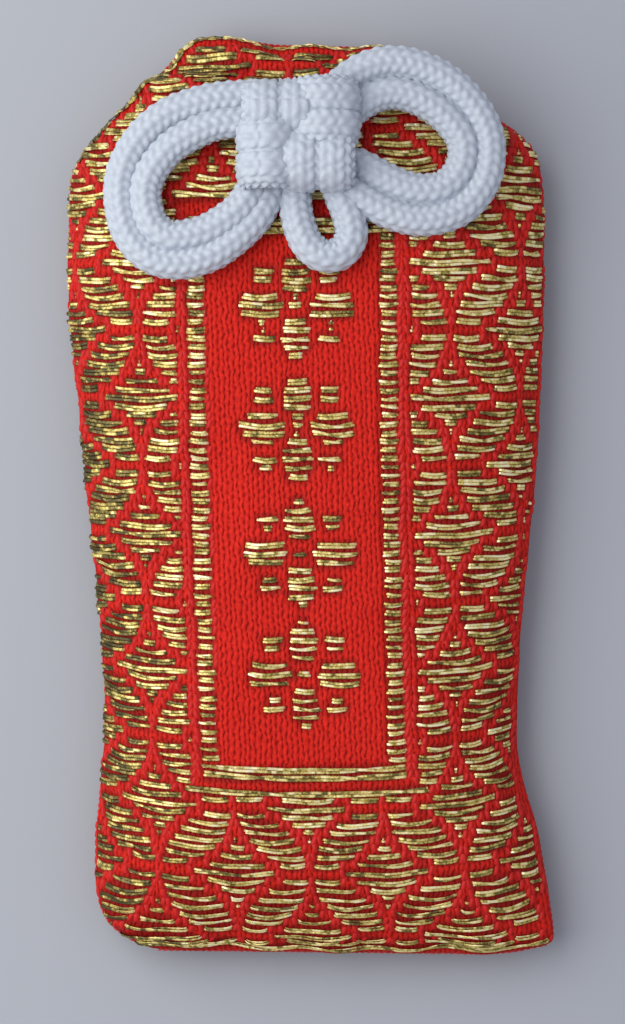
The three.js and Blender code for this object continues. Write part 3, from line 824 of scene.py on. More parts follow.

# %% [markdown]
# ## Red ground
# Between the gold the cloth shows its red warp: fine upright ribs that part and meet like knitting, with
# small slits where two of them part, dark with shade. The ribs could be modelled, but they are too many and
# too fine to show on an outline. One node group draws that rib weave from the place along the cloth. It
# gives a height for the bump and a mask for the slits, which darkens the colour there as painted shade;
# the lining uses it too at a finer pitch.

# %% Rib weave node group
RIB_PITCH = 0.49
GRAIN_LENGTH = 0.81
RIB_SWAY = 1.5
SLIT_LEAST = 0.4


def rib_weave_group():
    """Node group: the height and the gaps of a ribbed weave, from the place along the cloth."""
    group = bpy.data.node_groups.new("rib_weave", "ShaderNodeTree")
    group.interface.new_socket("Place", in_out="INPUT", socket_type="NodeSocketVector")
    for name, value in (("Rib Pitch", RIB_PITCH), ("Grain Length", GRAIN_LENGTH)):
        socket = group.interface.new_socket(name, in_out="INPUT", socket_type="NodeSocketFloat")
        socket.default_value = value
    group.interface.new_socket("Height", in_out="OUTPUT", socket_type="NodeSocketFloat")
    group.interface.new_socket("Gap", in_out="OUTPUT", socket_type="NodeSocketFloat")
    nodes, links = group.nodes, group.links
    source = nodes.new("NodeGroupInput")
    result = nodes.new("NodeGroupOutput")

    def calc(operation, first, second=None):
        return math_node(nodes, links, operation, first, second)

    drift = noise_node(nodes, links, 0.9, place=source.outputs["Place"])
    sway = calc("MULTIPLY", calc("SUBTRACT", drift, 0.5), RIB_SWAY)
    parts = split_vector(nodes, links, source.outputs["Place"])
    rib = calc("ADD", calc("DIVIDE", parts["X"], source.outputs["Rib Pitch"]), sway)
    grain = calc("ADD", calc("DIVIDE", parts["Y"], source.outputs["Grain Length"]), sway)
    between = calc("ROUND", rib)
    from_slit = calc("MULTIPLY", calc("ABSOLUTE", calc("SUBTRACT", rib, between)), 2)
    phase = calc("ADD", grain, calc("MULTIPLY", between, 0.5))
    opening = calc("ADD", calc("MULTIPLY", calc("COSINE", calc("MULTIPLY", phase, 2 * math.pi)), 0.5), 0.5)
    depth = calc("POWER", calc("MAXIMUM", calc("SUBTRACT", 1, from_slit), 0), 2.0)
    width = calc("ADD", calc("MULTIPLY", opening, 1 - SLIT_LEAST), SLIT_LEAST)
    gap = calc("MULTIPLY", depth, width)
    links.new(calc("SUBTRACT", 1, gap), result.inputs["Height"])
    links.new(gap, result.inputs["Gap"])
    return group


RIB_WEAVE = rib_weave_group()


def weave_nodes(nodes, links, pitch, grain):
    """Places the rib weave in a material, read from the cloth's own lengths."""
    place = stored_place(nodes, "cloth_place")
    weave = nodes.new("ShaderNodeGroup")
    weave.node_tree = RIB_WEAVE
    weave.inputs["Rib Pitch"].default_value = pitch
    weave.inputs["Grain Length"].default_value = grain
    links.new(place, weave.inputs["Place"])
    return place, weave.outputs


# %% Red ground
# How far the painted shade under the gold darkens the red ground.
COVER_SHADE = 0.7


def mixed_colour(nodes, links, blend, factor, first, second):
    """Two colours mixed; each input is a socket or a plain value."""
    mix = nodes.new("ShaderNodeMix")
    mix.data_type = "RGBA"
    mix.blend_type = blend
    for name, value in (("Factor", factor), ("A", first), ("B", second)):
        feed(links, mix.inputs[name], value)
    return mix.outputs["Result"]


red_ground, nodes, links, shader = start_material("red_ground", 0.62)
place, weave = weave_nodes(nodes, links, RIB_PITCH, GRAIN_LENGTH)
# Painted shade: the red darkens as the slits open, as the shade in them.
red_colour = colour_ramp(nodes, links, weave["Gap"], [
    (0.0, (0.69, 0.018, 0.008)),
    (0.4, (0.57, 0.010, 0.005)),
    (0.9, (0.33, 0.005, 0.002)),
])
uneven_dye = noise_node(nodes, links, 2.6, detail=6, place=place)
tone = colour_ramp(nodes, links, uneven_dye, [
    (0.34, (0.72, 0.6, 0.6)),
    (0.66, (1.05, 1.1, 1.1)),
])
toned = mixed_colour(nodes, links, "MULTIPLY", 1, red_colour, tone)
# Painted shade: under the gold the red is mixed towards a dark red, as the shade beneath the floats.
cover = math_node(nodes, links, "MULTIPLY", split_vector(nodes, links, place)["Z"], COVER_SHADE)
shaded = mixed_colour(nodes, links, "MIX", cover, toned, (0.16, 0.006, 0.004, 1))
links.new(shaded, shader.inputs["Base Color"])
add_bump(nodes, links, shader, weave["Height"], strength=0.9, depth=0.14)
shader.inputs["Specular IOR Level"].default_value = 0.13
shader.inputs["Sheen Weight"].default_value = 0.05
shader.inputs["Sheen Tint"].default_value = (1.0, 0.3, 0.25, 1)
print("red ground nodes:", len(nodes))

# %% [markdown]
# ## Front and back cloth
# Each side is one sheet: the laid grid, with a narrow hem that turns in along the seam so that no raw
# edge shows from the side. The sheet could be modelled as a closed shell, but a Solidify modifier gives
# it the thickness of brocade and keeps the grid simple.

# %% Cloth sheets
HEM = 0.9
HEM_TO_MIDDLE = (1 / 21, 1 / TOP, 0)
CLOTH_THICKNESS = 0.35


def faced_out(faces, lay):
    """Faces turned to the outside of a laid cloth; the back one lies face down."""
    face_down = lay["normals"][CLOTH_ROWS // 2, CLOTH_COLUMNS // 2, 2] < 0
    return (faces[:, ::-1] if face_down else faces).tolist()


def thicken(piece, name, thickness):
    """Gives a sheet a thickness, inwards from its face."""
    solidify = piece.modifiers.new(name, "SOLIDIFY")
    solidify.thickness = thickness * MM
    solidify.offset = -1


def cloth_sheet(name, lay):
    """The sheet of a laid cloth with its hem turned in, and its lengths kept for the weave."""
    rows, columns = lay["points"].shape[:2]
    share = np.linspace(-1, 1, columns)
    across = share[None, :] * np.where(share < 0, lay["reach"][:, :1], lay["reach"][:, 1:])
    along = np.repeat(lay["weft"][:, None], columns, 1)
    # The third value is how far gold covers the point, read by the red ground as painted shade.
    places = np.stack([across, along, lay["cover"]], axis=-1).reshape(-1, 3)
    rim = grid_rim(rows, columns)
    points = lay["points"].reshape(-1, 3)
    hem = points[rim] - unit(points[rim] * HEM_TO_MIDDLE) * HEM
    ring = len(points) + np.arange(len(rim))
    turned_in = np.stack([np.roll(rim, -1), rim, ring, np.roll(ring, -1)], axis=-1)
    faces = np.concatenate([grid_faces(rows, columns), turned_in])
    piece = add_piece(name, np.concatenate([points, hem]), faced_out(faces, lay), red_ground)
    store_places(piece, "cloth_place", np.concatenate([places, places[rim]]))
    thicken(piece, "brocade", CLOTH_THICKNESS)
    print(name, "points:", len(points))
    return piece


# %% [markdown]
# ## Gold wefts
# The gold is gilt foil, woven in as extra rows of weft. A row floats on the face where the pattern is
# gold and goes behind the cloth elsewhere, so the pattern is a list of short runs on evenly spaced rows.
# The ground pattern is interlocked rings, with gold in the leaves where two rings overlap and in the
# hollow diamonds between them. A frame of gold rungs and lines encloses the plain red panel, with four
# small woven flowers. The gold could be a mask in the red finish, but real floats stand above the ground
# and catch the light one by one, so each is modelled.

# %% Gold in the rings
PICK = 0.805
PATTERN_MIDDLE = -1.1
PATTERN_LEVEL = 8.6
RING_WIDTH = 7.35
RING_HEIGHT = 8 * PICK
DIAMOND_HALF_WIDTHS = np.array([3.95, 2.75, 1.7, 0.7, 0.25, 0, 0, 0, 0])
LEAF_OWN_RING = 0.955
LEAF_OTHER_RING = 0.965
LEAF_PARTING = 0.22


def rings_gold(x, y):
    """Gold in the leaves and diamonds of interlocked rings."""
    nearest = np.full(x.shape, np.inf)
    gold = np.zeros(x.shape, bool)
    for step in (0, 1):
        column = np.floor((x - PATTERN_MIDDLE) / RING_WIDTH) + step
        level = PATTERN_LEVEL + RING_HEIGHT * (column % 2)
        level = level + 2 * RING_HEIGHT * np.round((y - level) / (2 * RING_HEIGHT))
        off_x = np.abs(x - PATTERN_MIDDLE - column * RING_WIDTH)
        off_y = np.abs(y - level)
        a, b = off_x / RING_WIDTH, off_y / RING_HEIGHT
        other = (1 - a) ** 2 + (1 - b) ** 2
        overlap = (a * a + b * b < LEAF_OWN_RING ** 2) & (other < LEAF_OTHER_RING ** 2)
        leaf = overlap & (off_x > LEAF_PARTING)
        rows = np.minimum(np.round(off_y / PICK), len(DIAMOND_HALF_WIDTHS) - 1).astype(int)
        diamond = off_x < DIAMOND_HALF_WIDTHS[rows]
        closer = a + b < nearest
        gold = np.where(closer, leaf | diamond, gold)
        nearest = np.where(closer, a + b, nearest)
    return gold


# %% Gold in the panel
PANEL = (-12.1, 9.75)
PANEL_PICKS = (-46, 24)
FRAME_PICKS = (-44, -43, 20, 21)
FRAME = (-11.2, 8.65)
RUNG_LENGTH = 1.75
FLOWER_MIDDLE = -0.9
FLOWER_LEVELS = (17.3, 5.9, -5.85, -17.2)
FLOWER_HALF_WIDTH = 5.6
FLOWER_HALF_HEIGHT = 4.9
# Side petals, upright petals, leaves and heart: middle and half size, as shares of the flower's half size.
FLOWER_OVALS = [
    ((0.6, 0), (0.4, 0.3)),
    ((0, 0.6), (0.26, 0.42)),
    ((0.55, 0.62), (0.2, 0.16)),
    ((0, 0), (0.12, 0.12)),
]


def flower_gold(x, y):
    """Flowers of four petals and four small leaves, one above the other."""
    gold = np.zeros(x.shape, bool)
    for level in FLOWER_LEVELS:
        a = np.abs(x - FLOWER_MIDDLE) / FLOWER_HALF_WIDTH
        b = abs(y - level) / FLOWER_HALF_HEIGHT
        for middle, half in FLOWER_OVALS:
            gold |= ((a - middle[0]) / half[0]) ** 2 + ((b - middle[1]) / half[1]) ** 2 < 1
    return gold


def panel_gold(x, pick):
    """The panel's frame of lines and rungs, and the flowers in it."""
    if pick in PANEL_PICKS:
        return np.ones(x.shape, bool)
    framed = (x > FRAME[0]) & (x < FRAME[1])
    if pick in FRAME_PICKS:
        return framed
    if not FRAME_PICKS[1] < pick < FRAME_PICKS[2]:
        return np.zeros(x.shape, bool)
    rungs = framed & ((x < FRAME[0] + RUNG_LENGTH) | (x > FRAME[1] - RUNG_LENGTH))
    return rungs | flower_gold(x, PATTERN_LEVEL + pick * PICK)


# %% Rows of gold
GRAIN_SKEW = 0.028
CROWDED = (-36.5, -25)
CROWDED_LIFT = 0.95
DRIFT_LEVELS = (-42, -33, -28, -20, -8, 5, 20)
LEFT_DRIFT = (0.35, 0.5, 0.15, 0.05, -0.15, -0.15, -0.05)
RIGHT_DRIFT = (-0.25, -0.5, -0.55, -0.52, -0.45, -0.4, 0.0)


def off_grain(path):
    """Moves a row's path as the cloth was cut, a little off its grain and crowded at the foot."""
    x, level = path[:, 0], path[:, 1]
    skew = GRAIN_SKEW - END_SLANT * end_share(level) ** 2
    lift = np.interp(level, CROWDED, (CROWDED_LIFT, 0)) - skew * x
    left, right = (np.interp(level, DRIFT_LEVELS, drift) for drift in (LEFT_DRIFT, RIGHT_DRIFT))
    return np.column_stack([x + left + (right - left) * ramp(x, -8, 12), level + lift])


FOOT_MARGIN = 1.7
MOUTH_MARGIN = 2.0
MARGIN_LEVELS = (-10, 25)
SAMPLE_STEP = 0.05
SHORTEST_RUN = 0.2


def gold_runs(lay, has_panel, left_margin, right_margins):
    """Each run of gold on one side of the pouch, as a path along its row."""
    runs = []
    first = math.ceil((lay["weft"][0] + FOOT_MARGIN - CROWDED_LIFT - PATTERN_LEVEL) / PICK)
    last = math.floor((lay["weft"][-1] - MOUTH_MARGIN - PATTERN_LEVEL) / PICK)
    for pick in range(first, last + 1):
        level = PATTERN_LEVEL + pick * PICK
        placed = level + np.interp(level, CROWDED, (CROWDED_LIFT, 0))
        left, right = (np.interp(placed, lay["weft"], lay["reach"][:, k]) for k in (0, 1))
        right_margin = np.interp(level, MARGIN_LEVELS, right_margins)
        x = np.arange(-left + left_margin, right - right_margin, SAMPLE_STEP)
        gold = rings_gold(x, level)
        if has_panel and PANEL_PICKS[0] <= pick <= PANEL_PICKS[1]:
            inside = (x > PANEL[0]) & (x < PANEL[1])
            gold = np.where(inside, panel_gold(x, pick), gold)
        ends = np.flatnonzero(np.diff(np.concatenate([[0], gold.astype(int), [0]])))
        for start, end in zip(x[ends[::2]], x[ends[1::2] - 1]):
            if end - start > SHORTEST_RUN:
                runs.append(gold_row(level, start, end))
    return [off_grain(path) for path in runs]


# %% Uneven floats
FACET_STEP = 0.22
LEAST_STEPS = 5
RAGGED_END = 0.15
SHORTEST_FLOAT = 0.4
SAG_SHARE, MOST_SAG = 0.045, 0.22
WAVE, WAVE_RATE, WAVY_LENGTH = 0.06, 1.3, 6
FRONT_MARGINS = (0.2, (0.85, 0.6))
BACK_MARGINS = (1.0, (1.0, 1.0))
chance = np.random.default_rng(11)


def gold_row(level, start, end):
    """Path of one float along a row: it sags between its ends, and hangs a little unevenly."""
    start = start + chance.uniform(-RAGGED_END, RAGGED_END)
    end = end + chance.uniform(-RAGGED_END, RAGGED_END)
    length = max(end - start, SHORTEST_FLOAT)
    f = np.linspace(0, 1, max(LEAST_STEPS, int(length / FACET_STEP)))
    x = start + length * f
    sag = min(MOST_SAG, SAG_SHARE * length) * 4 * f * (1 - f)
    wave = WAVE * min(1, WAVY_LENGTH / length) * np.sin(WAVE_RATE * x + chance.uniform(0, 6))
    return np.column_stack([x, level - sag + wave + chance.uniform(-WAVE, WAVE)])


front_runs = gold_runs(front_lay, True, *FRONT_MARGINS)
back_runs = gold_runs(back_lay, False, *BACK_MARGINS)
print("runs of gold:", len(front_runs), "on the front,", len(back_runs), "on the back")

# %% [markdown]
# Gold also lies on the folds. A whole row runs along the foot where the cloth turns down, with a few
# short floats above it. A twisted line of gold follows the turned edge up the cut corner at the left and
# on along the mouth. Those paths could be drawn by eye on the finished cloth, but here they follow its
# rim at a set distance, so they stay on the fold when the shape changes.

# %% Gold on the folds
def weft_at(lay, level):
    """Length along the weave at which the middle of the cloth is at a level."""
    return float(np.interp(level, lay["points"][:, CLOTH_COLUMNS // 2, 1], lay["weft"]))


def along_path(corners):
    """A path through corners, in steps of one facet."""
    corners = np.array(corners, float)
    run = travelled(corners)
    even = np.linspace(0, run[-1], max(LEAST_STEPS, int(run[-1] / FACET_STEP)))
    return np.column_stack([np.interp(even, run, corners[:, k]) for k in (0, 1)])


def left_rim(lay, weft, inside):
    """Path up the left edge of the cloth, at a distance inside its rim."""
    return np.column_stack([inside - np.interp(weft, lay["weft"], lay["reach"][:, 0]), weft])


FOOT_LEVEL = -42.52
FOOT_FLOATS = [(0.75, -17.5, -10.8), (0.8, 0.4, 3.5), (0.8, 9.2, 17.8)]
FOOT_ROW = [(-17.5, 0.35), (-9, 0.2), (-4, -0.1), (3, 0), (9, -0.1), (13, 0.2), (21.2, 0.1)]
MOUTH_LEVEL = 42.45
MOUTH_ROW = np.linspace(-8, 8.3, 12)
MOUTH_ROW_RISE = 0.15
CORNER_LEVEL = 31.5
CORNER_INSET = 1.15
foot = weft_at(front_lay, FOOT_LEVEL - FOOT_SLACK)
front_runs += [gold_row(foot + rise, start, end) for rise, start, end in FOOT_FLOATS]
front_runs.append(along_path([(x, foot + rise) for x, rise in FOOT_ROW]))
mouth = weft_at(front_lay, MOUTH_LEVEL)
corner_row = left_rim(front_lay, np.linspace(weft_at(front_lay, CORNER_LEVEL), mouth, 40), CORNER_INSET)
edge_runs = [along_path([*corner_row, *[(x, mouth + MOUTH_ROW_RISE) for x in MOUTH_ROW]])]
print("rows on the folds:", len(FOOT_FLOATS) + 1 + len(edge_runs))

# %% [markdown]
# Under the floats the ground lies a little deeper and in shade, and the red between them stands up as
# ridges. A Displace modifier could do that with a painted map, but the paths of the gold are already
# known. So the cloth is lowered where they cover it, and that cover is kept to paint shade into the
# colour of the ground under the gold. The grid is only then made into the two sheets.

# %% Sink the ground under the gold
SUNK = 0.16
COVER_SHARE = 0.45
SUNK_FROM = 0.3


def sink_ground(lay, runs):
    """Lowers a laid cloth under its gold and keeps how far each point is covered, for painted shade."""
    rows, columns = lay["points"].shape[:2]
    cover = np.zeros((rows, columns))
    spacing = (lay["weft"][-1] - lay["weft"][0]) / (rows - 1)
    for path in runs:
        level = path[:, 1].mean()
        low, high = ((level + step * COVER_SHARE * PICK - lay["weft"][0]) / spacing for step in (-1, 1))
        low, high = max(int(round(low)), 0), min(int(round(high)) + 1, rows)
        reach = lay["reach"][min(max(int((low + high) / 2), 0), rows - 1)]
        ends = [x / (reach[0] if x < 0 else reach[1]) for x in (path[0, 0], path[-1, 0])]
        left, right = (int(round((share + 1) / 2 * (columns - 1))) for share in ends)
        cover[low:high, max(left, 0):right + 1] = 1
    for axis in (0, 1):
        cover = (np.roll(cover, 1, axis) + 2 * cover + np.roll(cover, -1, axis)) / 4
    lay["cover"] = cover
    rim = ramp(np.abs(lay["points"][..., 2] - SEAM_LEVEL), SUNK_FROM, RIM_HEIGHT)
    lay["points"] = above_table(lay["points"] - lay["normals"] * (SUNK * cover * rim)[..., None])


sink_ground(front_lay, front_runs)
sink_ground(back_lay, back_runs)
front_cloth = cloth_sheet("front_cloth", front_lay)
back_cloth = cloth_sheet("back_cloth", back_lay)

# %% [markdown]
# Each row of gold is two flat strips of foil side by side, and the pair twists over now and then. A strip
# is creased into short facets that tilt this way and that, so some of them flash and some stay dark. The
# strips are modelled with those facets, and each facet keeps a random tone of its own for the finish,
# partly the foil's own tone and partly painted highlight and painted shade for the flash and the dark.

# %% Places on the laid cloth
def on_cloth(lay, across, weft):
    """Points and normals of a laid cloth at given lengths across and along it."""
    rows, columns = lay["points"].shape[:2]
    row = (weft - lay["weft"][0]) / (lay["weft"][-1] - lay["weft"][0]) * (rows - 1)
    row = np.clip(row, 0, rows - 1.001)
    r = row.astype(int)
    fr = (row - r)[..., None]
    reach = lay["reach"][r] * (1 - fr) + lay["reach"][r + 1] * fr
    share = across / np.where(across < 0, reach[..., 0], reach[..., 1])
    column = np.clip((share + 1) / 2 * (columns - 1), 0, columns - 1.001)
    c = column.astype(int)
    fc = (column - c)[..., None]

    def mixed(grid):
        low = grid[r, c] * (1 - fc) + grid[r, c + 1] * fc
        high = grid[r + 1, c] * (1 - fc) + grid[r + 1, c + 1] * fc
        return low * (1 - fr) + high * fr

    return mixed(lay["points"]), unit(mixed(lay["normals"]))


# %% Foil strips
FOIL_WIDTH = 0.26
FOIL_SPREAD = 0.14
FOIL_LIFT = 0.17
FLOAT_TURNS = (16, 40)
EDGE_FULLNESS = 0.9
EDGE_TURN = 2.6
# Painted shade: how much darker the foil is painted towards the left edge, on the edge row and the floats.
EDGE_PAINTED_SHADE = 0.42
PAINTED_SHADE_SIDE = (-23, -11)
ARCH_SHARE, MOST_ARCH = 0.02, 0.12
END_TAPER, END_SINK = 0.3, 0.08
TWIST_LIFT = 0.07
CREASE_TILT = 0.3
# Facet tones: their middle, their random spread, which paints highlight and shade, and each float's painted
# shine.
TONE_MIDDLE, TONE_SPREAD, SHINE = 0.53, 0.3, 0.1


def creases(count):
    """A value for each step of a strip that stays the same along each facet."""
    lengths = chance.integers(1, 5, count)
    return np.repeat(chance.uniform(-1, 1, count), lengths)[:count]


def fullness_of(path, length):
    """Floats are fuller towards the mouth, along the left edge and where they are long."""
    x, level = path.mean(axis=0)
    full = np.interp(level, (-43, -22, 12, 30), (0.8, 0.96, 1.1, 1.16))
    full *= 1 + 0.3 * np.interp(x, (-21, -15), (1, 0)) * np.interp(level, (4, 16), (1, 0))
    return full * np.interp(length, (8, 18), (1.0, 1.15))


def painted_darkening_of(path):
    """How much darker the foil is painted: painted shade at the left edge, and darker towards the mouth."""
    # Painted shade towards the left edge, less of it higher up; then darker towards the mouth.
    left_painted_shade = np.interp(path[:, 0], PAINTED_SHADE_SIDE, (0.38, 0)) * np.interp(path[:, 1], (10, 22), (1, 0.35))
    return left_painted_shade + np.interp(path[:, 1], (36, 39), (0, 0.22))


# %% Weave the gold as pairs of foil strips
SECTION = np.array([-0.5, -0.32, 0.32, 0.5])
SECTION_HEIGHT = np.array([-0.22, 0.0, 0.0, -0.22])


def weave_gold(name, lay, runs, edges):
    """All runs of gold as one mesh: pairs of strips that twist over and crease, more tightly on the edges."""
    across, weft, rise, places, faces = [], [], [], [], []
    count = 0
    for number, path in enumerate(runs + edges):
        steps = len(path)
        length = travelled(path)
        f = length / length[-1]
        ahead = unit(np.gradient(path, axis=0))
        ends = np.minimum(1, np.minimum(f, 1 - f) * length[-1] / END_TAPER)
        woven = number < len(runs)
        fullness = fullness_of(path, length[-1]) if woven else EDGE_FULLNESS
        spread, width = FOIL_SPREAD * fullness, FOIL_WIDTH * fullness
        turn = chance.uniform(*FLOAT_TURNS) if woven else EDGE_TURN
        twist = 2 * math.pi * (length / turn + chance.uniform(0, 1))
        beside = np.tanh(2.5 * np.cos(twist))
        arch = FOIL_LIFT + min(MOST_ARCH, ARCH_SHARE * length[-1]) * 4 * f * (1 - f)
        shine = chance.uniform(-SHINE, SHINE)
        # Painted shade towards the left edge, on the floats and on the edge row.
        dull = painted_darkening_of(path) if woven else np.interp(path[:, 0], PAINTED_SHADE_SIDE, (EDGE_PAINTED_SHADE, 0))
        for side in (-1, 1):
            tilt = CREASE_TILT * creases(steps)
            lift = arch * ends + TWIST_LIFT * side * np.sin(twist) - END_SINK * (1 - ends)
            out = (side * spread * beside)[:, None] + width * SECTION
            across.append(path[:, :1] - ahead[:, 1:] * out)
            weft.append(path[:, 1:] + ahead[:, :1] * out)
            rise.append(lift[:, None] + width * (SECTION_HEIGHT + tilt[:, None] * SECTION))
            # Painted highlight and shade: a random tone for each facet and a shine for each float, less the
            # painted darkening.
            tone = TONE_MIDDLE + TONE_SPREAD * creases(steps) + shine - dull
            place = np.stack(np.broadcast_arrays(across[-1], weft[-1], tone[:, None]), axis=-1)
            places.append(place.reshape(-1, 3))
            faces.append(count + grid_faces(steps, len(SECTION))[:, ::-1])
            count += steps * len(SECTION)
    points, normals = on_cloth(lay, np.concatenate(across), np.concatenate(weft))
    points = above_table(points + normals * np.concatenate(rise)[..., None])
    faces = faced_out(np.concatenate(faces), lay)
    piece = add_piece(name, points.reshape(-1, 3), faces, gilt_foil)
    piece.data.polygons.foreach_set("use_smooth", np.zeros(len(faces), bool))
    store_places(piece, "foil_place", np.concatenate(places))
    print(name, "points:", count)
    return piece


# %% [markdown]
# Gilt foil is a thin bright metal over yellow paper. Its facets run from pale cream through yellow to a
# dull olive: partly the foil's own tone, partly painted highlight and painted shade. Towards the left edge
# it is painted darker, as painted shade. A full metal would only mirror the pale room, so it is half a
# metal, and its colour comes from the tone that each facet keeps. A fine noise breaks it up.

# %% Gilt foil
SPECKLE = 0.9
gilt_foil, nodes, links, shader = start_material("gilt_foil", 0.38)
foil_place = stored_place(nodes, "foil_place")
speckle = noise_node(nodes, links, 4.5, detail=3, place=foil_place)
broken = math_node(nodes, links, "MULTIPLY", math_node(nodes, links, "SUBTRACT", speckle, 0.5), SPECKLE)
tone = math_node(nodes, links, "ADD", split_vector(nodes, links, foil_place)["Z"], broken)
# The facet tone and the noise give the colour: partly the foil's own, partly painted highlight and shade.
foil_colour = colour_ramp(nodes, links, tone, [
    (0.08, (0.070, 0.055, 0.016)),
    (0.28, (0.20, 0.160, 0.042)),
    (0.46, (0.50, 0.40, 0.100)),
    (0.64, (0.81, 0.68, 0.25)),
    (0.90, (0.97, 0.92, 0.58)),
])
links.new(foil_colour, shader.inputs["Base Color"])
shader.inputs["Metallic"].default_value = 0.55
print("gilt foil nodes:", len(nodes))

# %% Gold on both sides
front_gold = weave_gold("front_gold", front_lay, front_runs, edge_runs)
back_gold = weave_gold("back_gold", back_lay, back_runs, [])

# %% [markdown]
# At each end of a float the red warp closes over the gold in a short plump stitch. Row by row these
# stitches step along the curves of the rings and make them look like fine red rope. Bump alone would
# leave them flat beside the raised gold, so each one is a small raised patch.

# %% Warp stitches at the ends of the floats
STITCH_HALF_WIDTH = 0.27
STITCH_HALF_HEIGHT = 0.46
STITCH_RISE, STITCH_ROOT = 0.2, 0.06
STITCH_OUT, STITCH_LEAN = 0.24, 0.12
PATCH_ROWS, PATCH_COLUMNS = 6, 5
PANEL_CLEAR, FLOWER_CLEAR = 2.5, 8
patch_u, patch_v = np.meshgrid(np.linspace(-1, 1, PATCH_COLUMNS), np.linspace(-1, 1, PATCH_ROWS))
patch_rise = STITCH_RISE * np.sqrt((1 - patch_u ** 2) * (1 - patch_v ** 2)) - STITCH_ROOT

warp_silk, nodes, links, shader = start_material("warp_silk", 0.55)
links.new(colour_ramp(nodes, links, noise_node(nodes, links, 1400), [
    (0.35, (0.46, 0.009, 0.007)),
    (0.65, (0.58, 0.015, 0.012)),
]), shader.inputs["Base Color"])
shader.inputs["Specular IOR Level"].default_value = 0.25


def warp_stitches(name, lay, runs):
    """Plump red stitches just outside both ends of each run, as one mesh."""
    across, weft = [], []
    for path in runs:
        for end, way in ((path[0], -1), (path[-1], 1)):
            in_panel = PANEL[0] + PANEL_CLEAR < end[0] < PANEL[1] - PANEL_CLEAR
            if in_panel and FLOWER_LEVELS[-1] - FLOWER_CLEAR < end[1] < FLOWER_LEVELS[0] + FLOWER_CLEAR:
                continue
            lean = STITCH_LEAN * way * patch_v
            across.append(end[0] + way * STITCH_OUT + STITCH_HALF_WIDTH * patch_u + lean)
            weft.append(end[1] + STITCH_HALF_HEIGHT * patch_v)
    points, normals = on_cloth(lay, np.array(across), np.array(weft))
    points = above_table(points + normals * patch_rise[None, ..., None])
    first = PATCH_ROWS * PATCH_COLUMNS * np.arange(len(across))
    faces = (grid_faces(PATCH_ROWS, PATCH_COLUMNS)[None] + first[:, None, None]).reshape(-1, 4)
    piece = add_piece(name, points.reshape(-1, 3), faced_out(faces, lay), warp_silk)
    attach(piece, "pouch")
    print(name, "stitches:", len(across))
    return piece


front_stitches = warp_stitches("front_warp_stitches", front_lay, front_runs)
back_stitches = warp_stitches("back_warp_stitches", back_lay, back_runs)

# %% What the cloth is
CLOTH_SIDES = (
    (front_cloth, [front_gold, front_stitches], "front_brocade"),
    (back_cloth, [back_gold, back_stitches], "back_brocade"),
)
for sheet, woven, node in CLOTH_SIDES:
    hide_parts(node)
    for piece in (sheet, woven[0]):
        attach(piece, "pouch")
    print(node, "is now", sheet.name, "with", [piece.name for piece in woven])

# %% [markdown]
# ## Seams
# The two turned edges are closed with ladder stitches in red thread. A curve with a bevel would give a
# plain round wire, but thread is two plies twisted together. So two thin tubes wind round the line of the
# seam, and that line swings from one edge to the other.

# %% Sewing thread
THREAD_DIAMETER = 0.4
THREAD_SIDES = 6
PLY_RADIUS = 0.27 * THREAD_DIAMETER
STITCH_LENGTH = 4
STITCH_SWING = 0.12
THREAD_INSET = 0.25
THREAD_STEP = 0.2
SEAM_END = 0.9
PLY_TWIST = 1.2

sewing_thread, nodes, links, shader = start_material("sewing_thread", 0.5)
links.new(colour_ramp(nodes, links, noise_node(nodes, links, 900), [
    (0.35, (0.36, 0.008, 0.006)),
    (0.65, (0.58, 0.025, 0.016)),
]), shader.inputs["Base Color"])
shader.inputs["Sheen Weight"].default_value = 0.2


def thin_tube(line, side, top, radius, first):
    """Points and faces of a thin round tube along a line; its points start at index first."""
    around = np.arange(THREAD_SIDES) * 2 * math.pi / THREAD_SIDES
    ring = np.cos(around)[None, :, None] * side[:, None] + np.sin(around)[None, :, None] * top[:, None]
    return (line[:, None] + radius * ring).reshape(-1, 3), tube_faces(len(line), THREAD_SIDES, first)


def seam_thread(name, plan, node):
    """A twisted thread along a seam, in place of its solid."""
    line = smooth_line(slanted(np.column_stack([plan, np.zeros(len(plan))])), THREAD_STEP)
    run = travelled(line[:, :2])
    line[:, 2] += SEAM_LEVEL + STITCH_SWING * np.sin(2 * math.pi * run / STITCH_LENGTH)
    along = unit(np.gradient(line, axis=0))
    side = unit(np.cross(along, (0, 0, 1)))
    top = np.cross(side, along)
    points, faces = [], []
    for ply in (0, math.pi):
        turn = 2 * math.pi * run / PLY_TWIST + ply
        centre = line + THREAD_DIAMETER / 4 * (np.cos(turn)[:, None] * side + np.sin(turn)[:, None] * top)
        first = len(points) * len(line) * THREAD_SIDES
        ply_points, ply_faces = thin_tube(centre, side, top, PLY_RADIUS, first)
        points.append(ply_points)
        faces += ply_faces
    piece = add_piece(name, np.concatenate(points), faces, sewing_thread)
    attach(piece, "pouch")
    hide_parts(node)
    print(name, round(run[-1], 1), "mm")


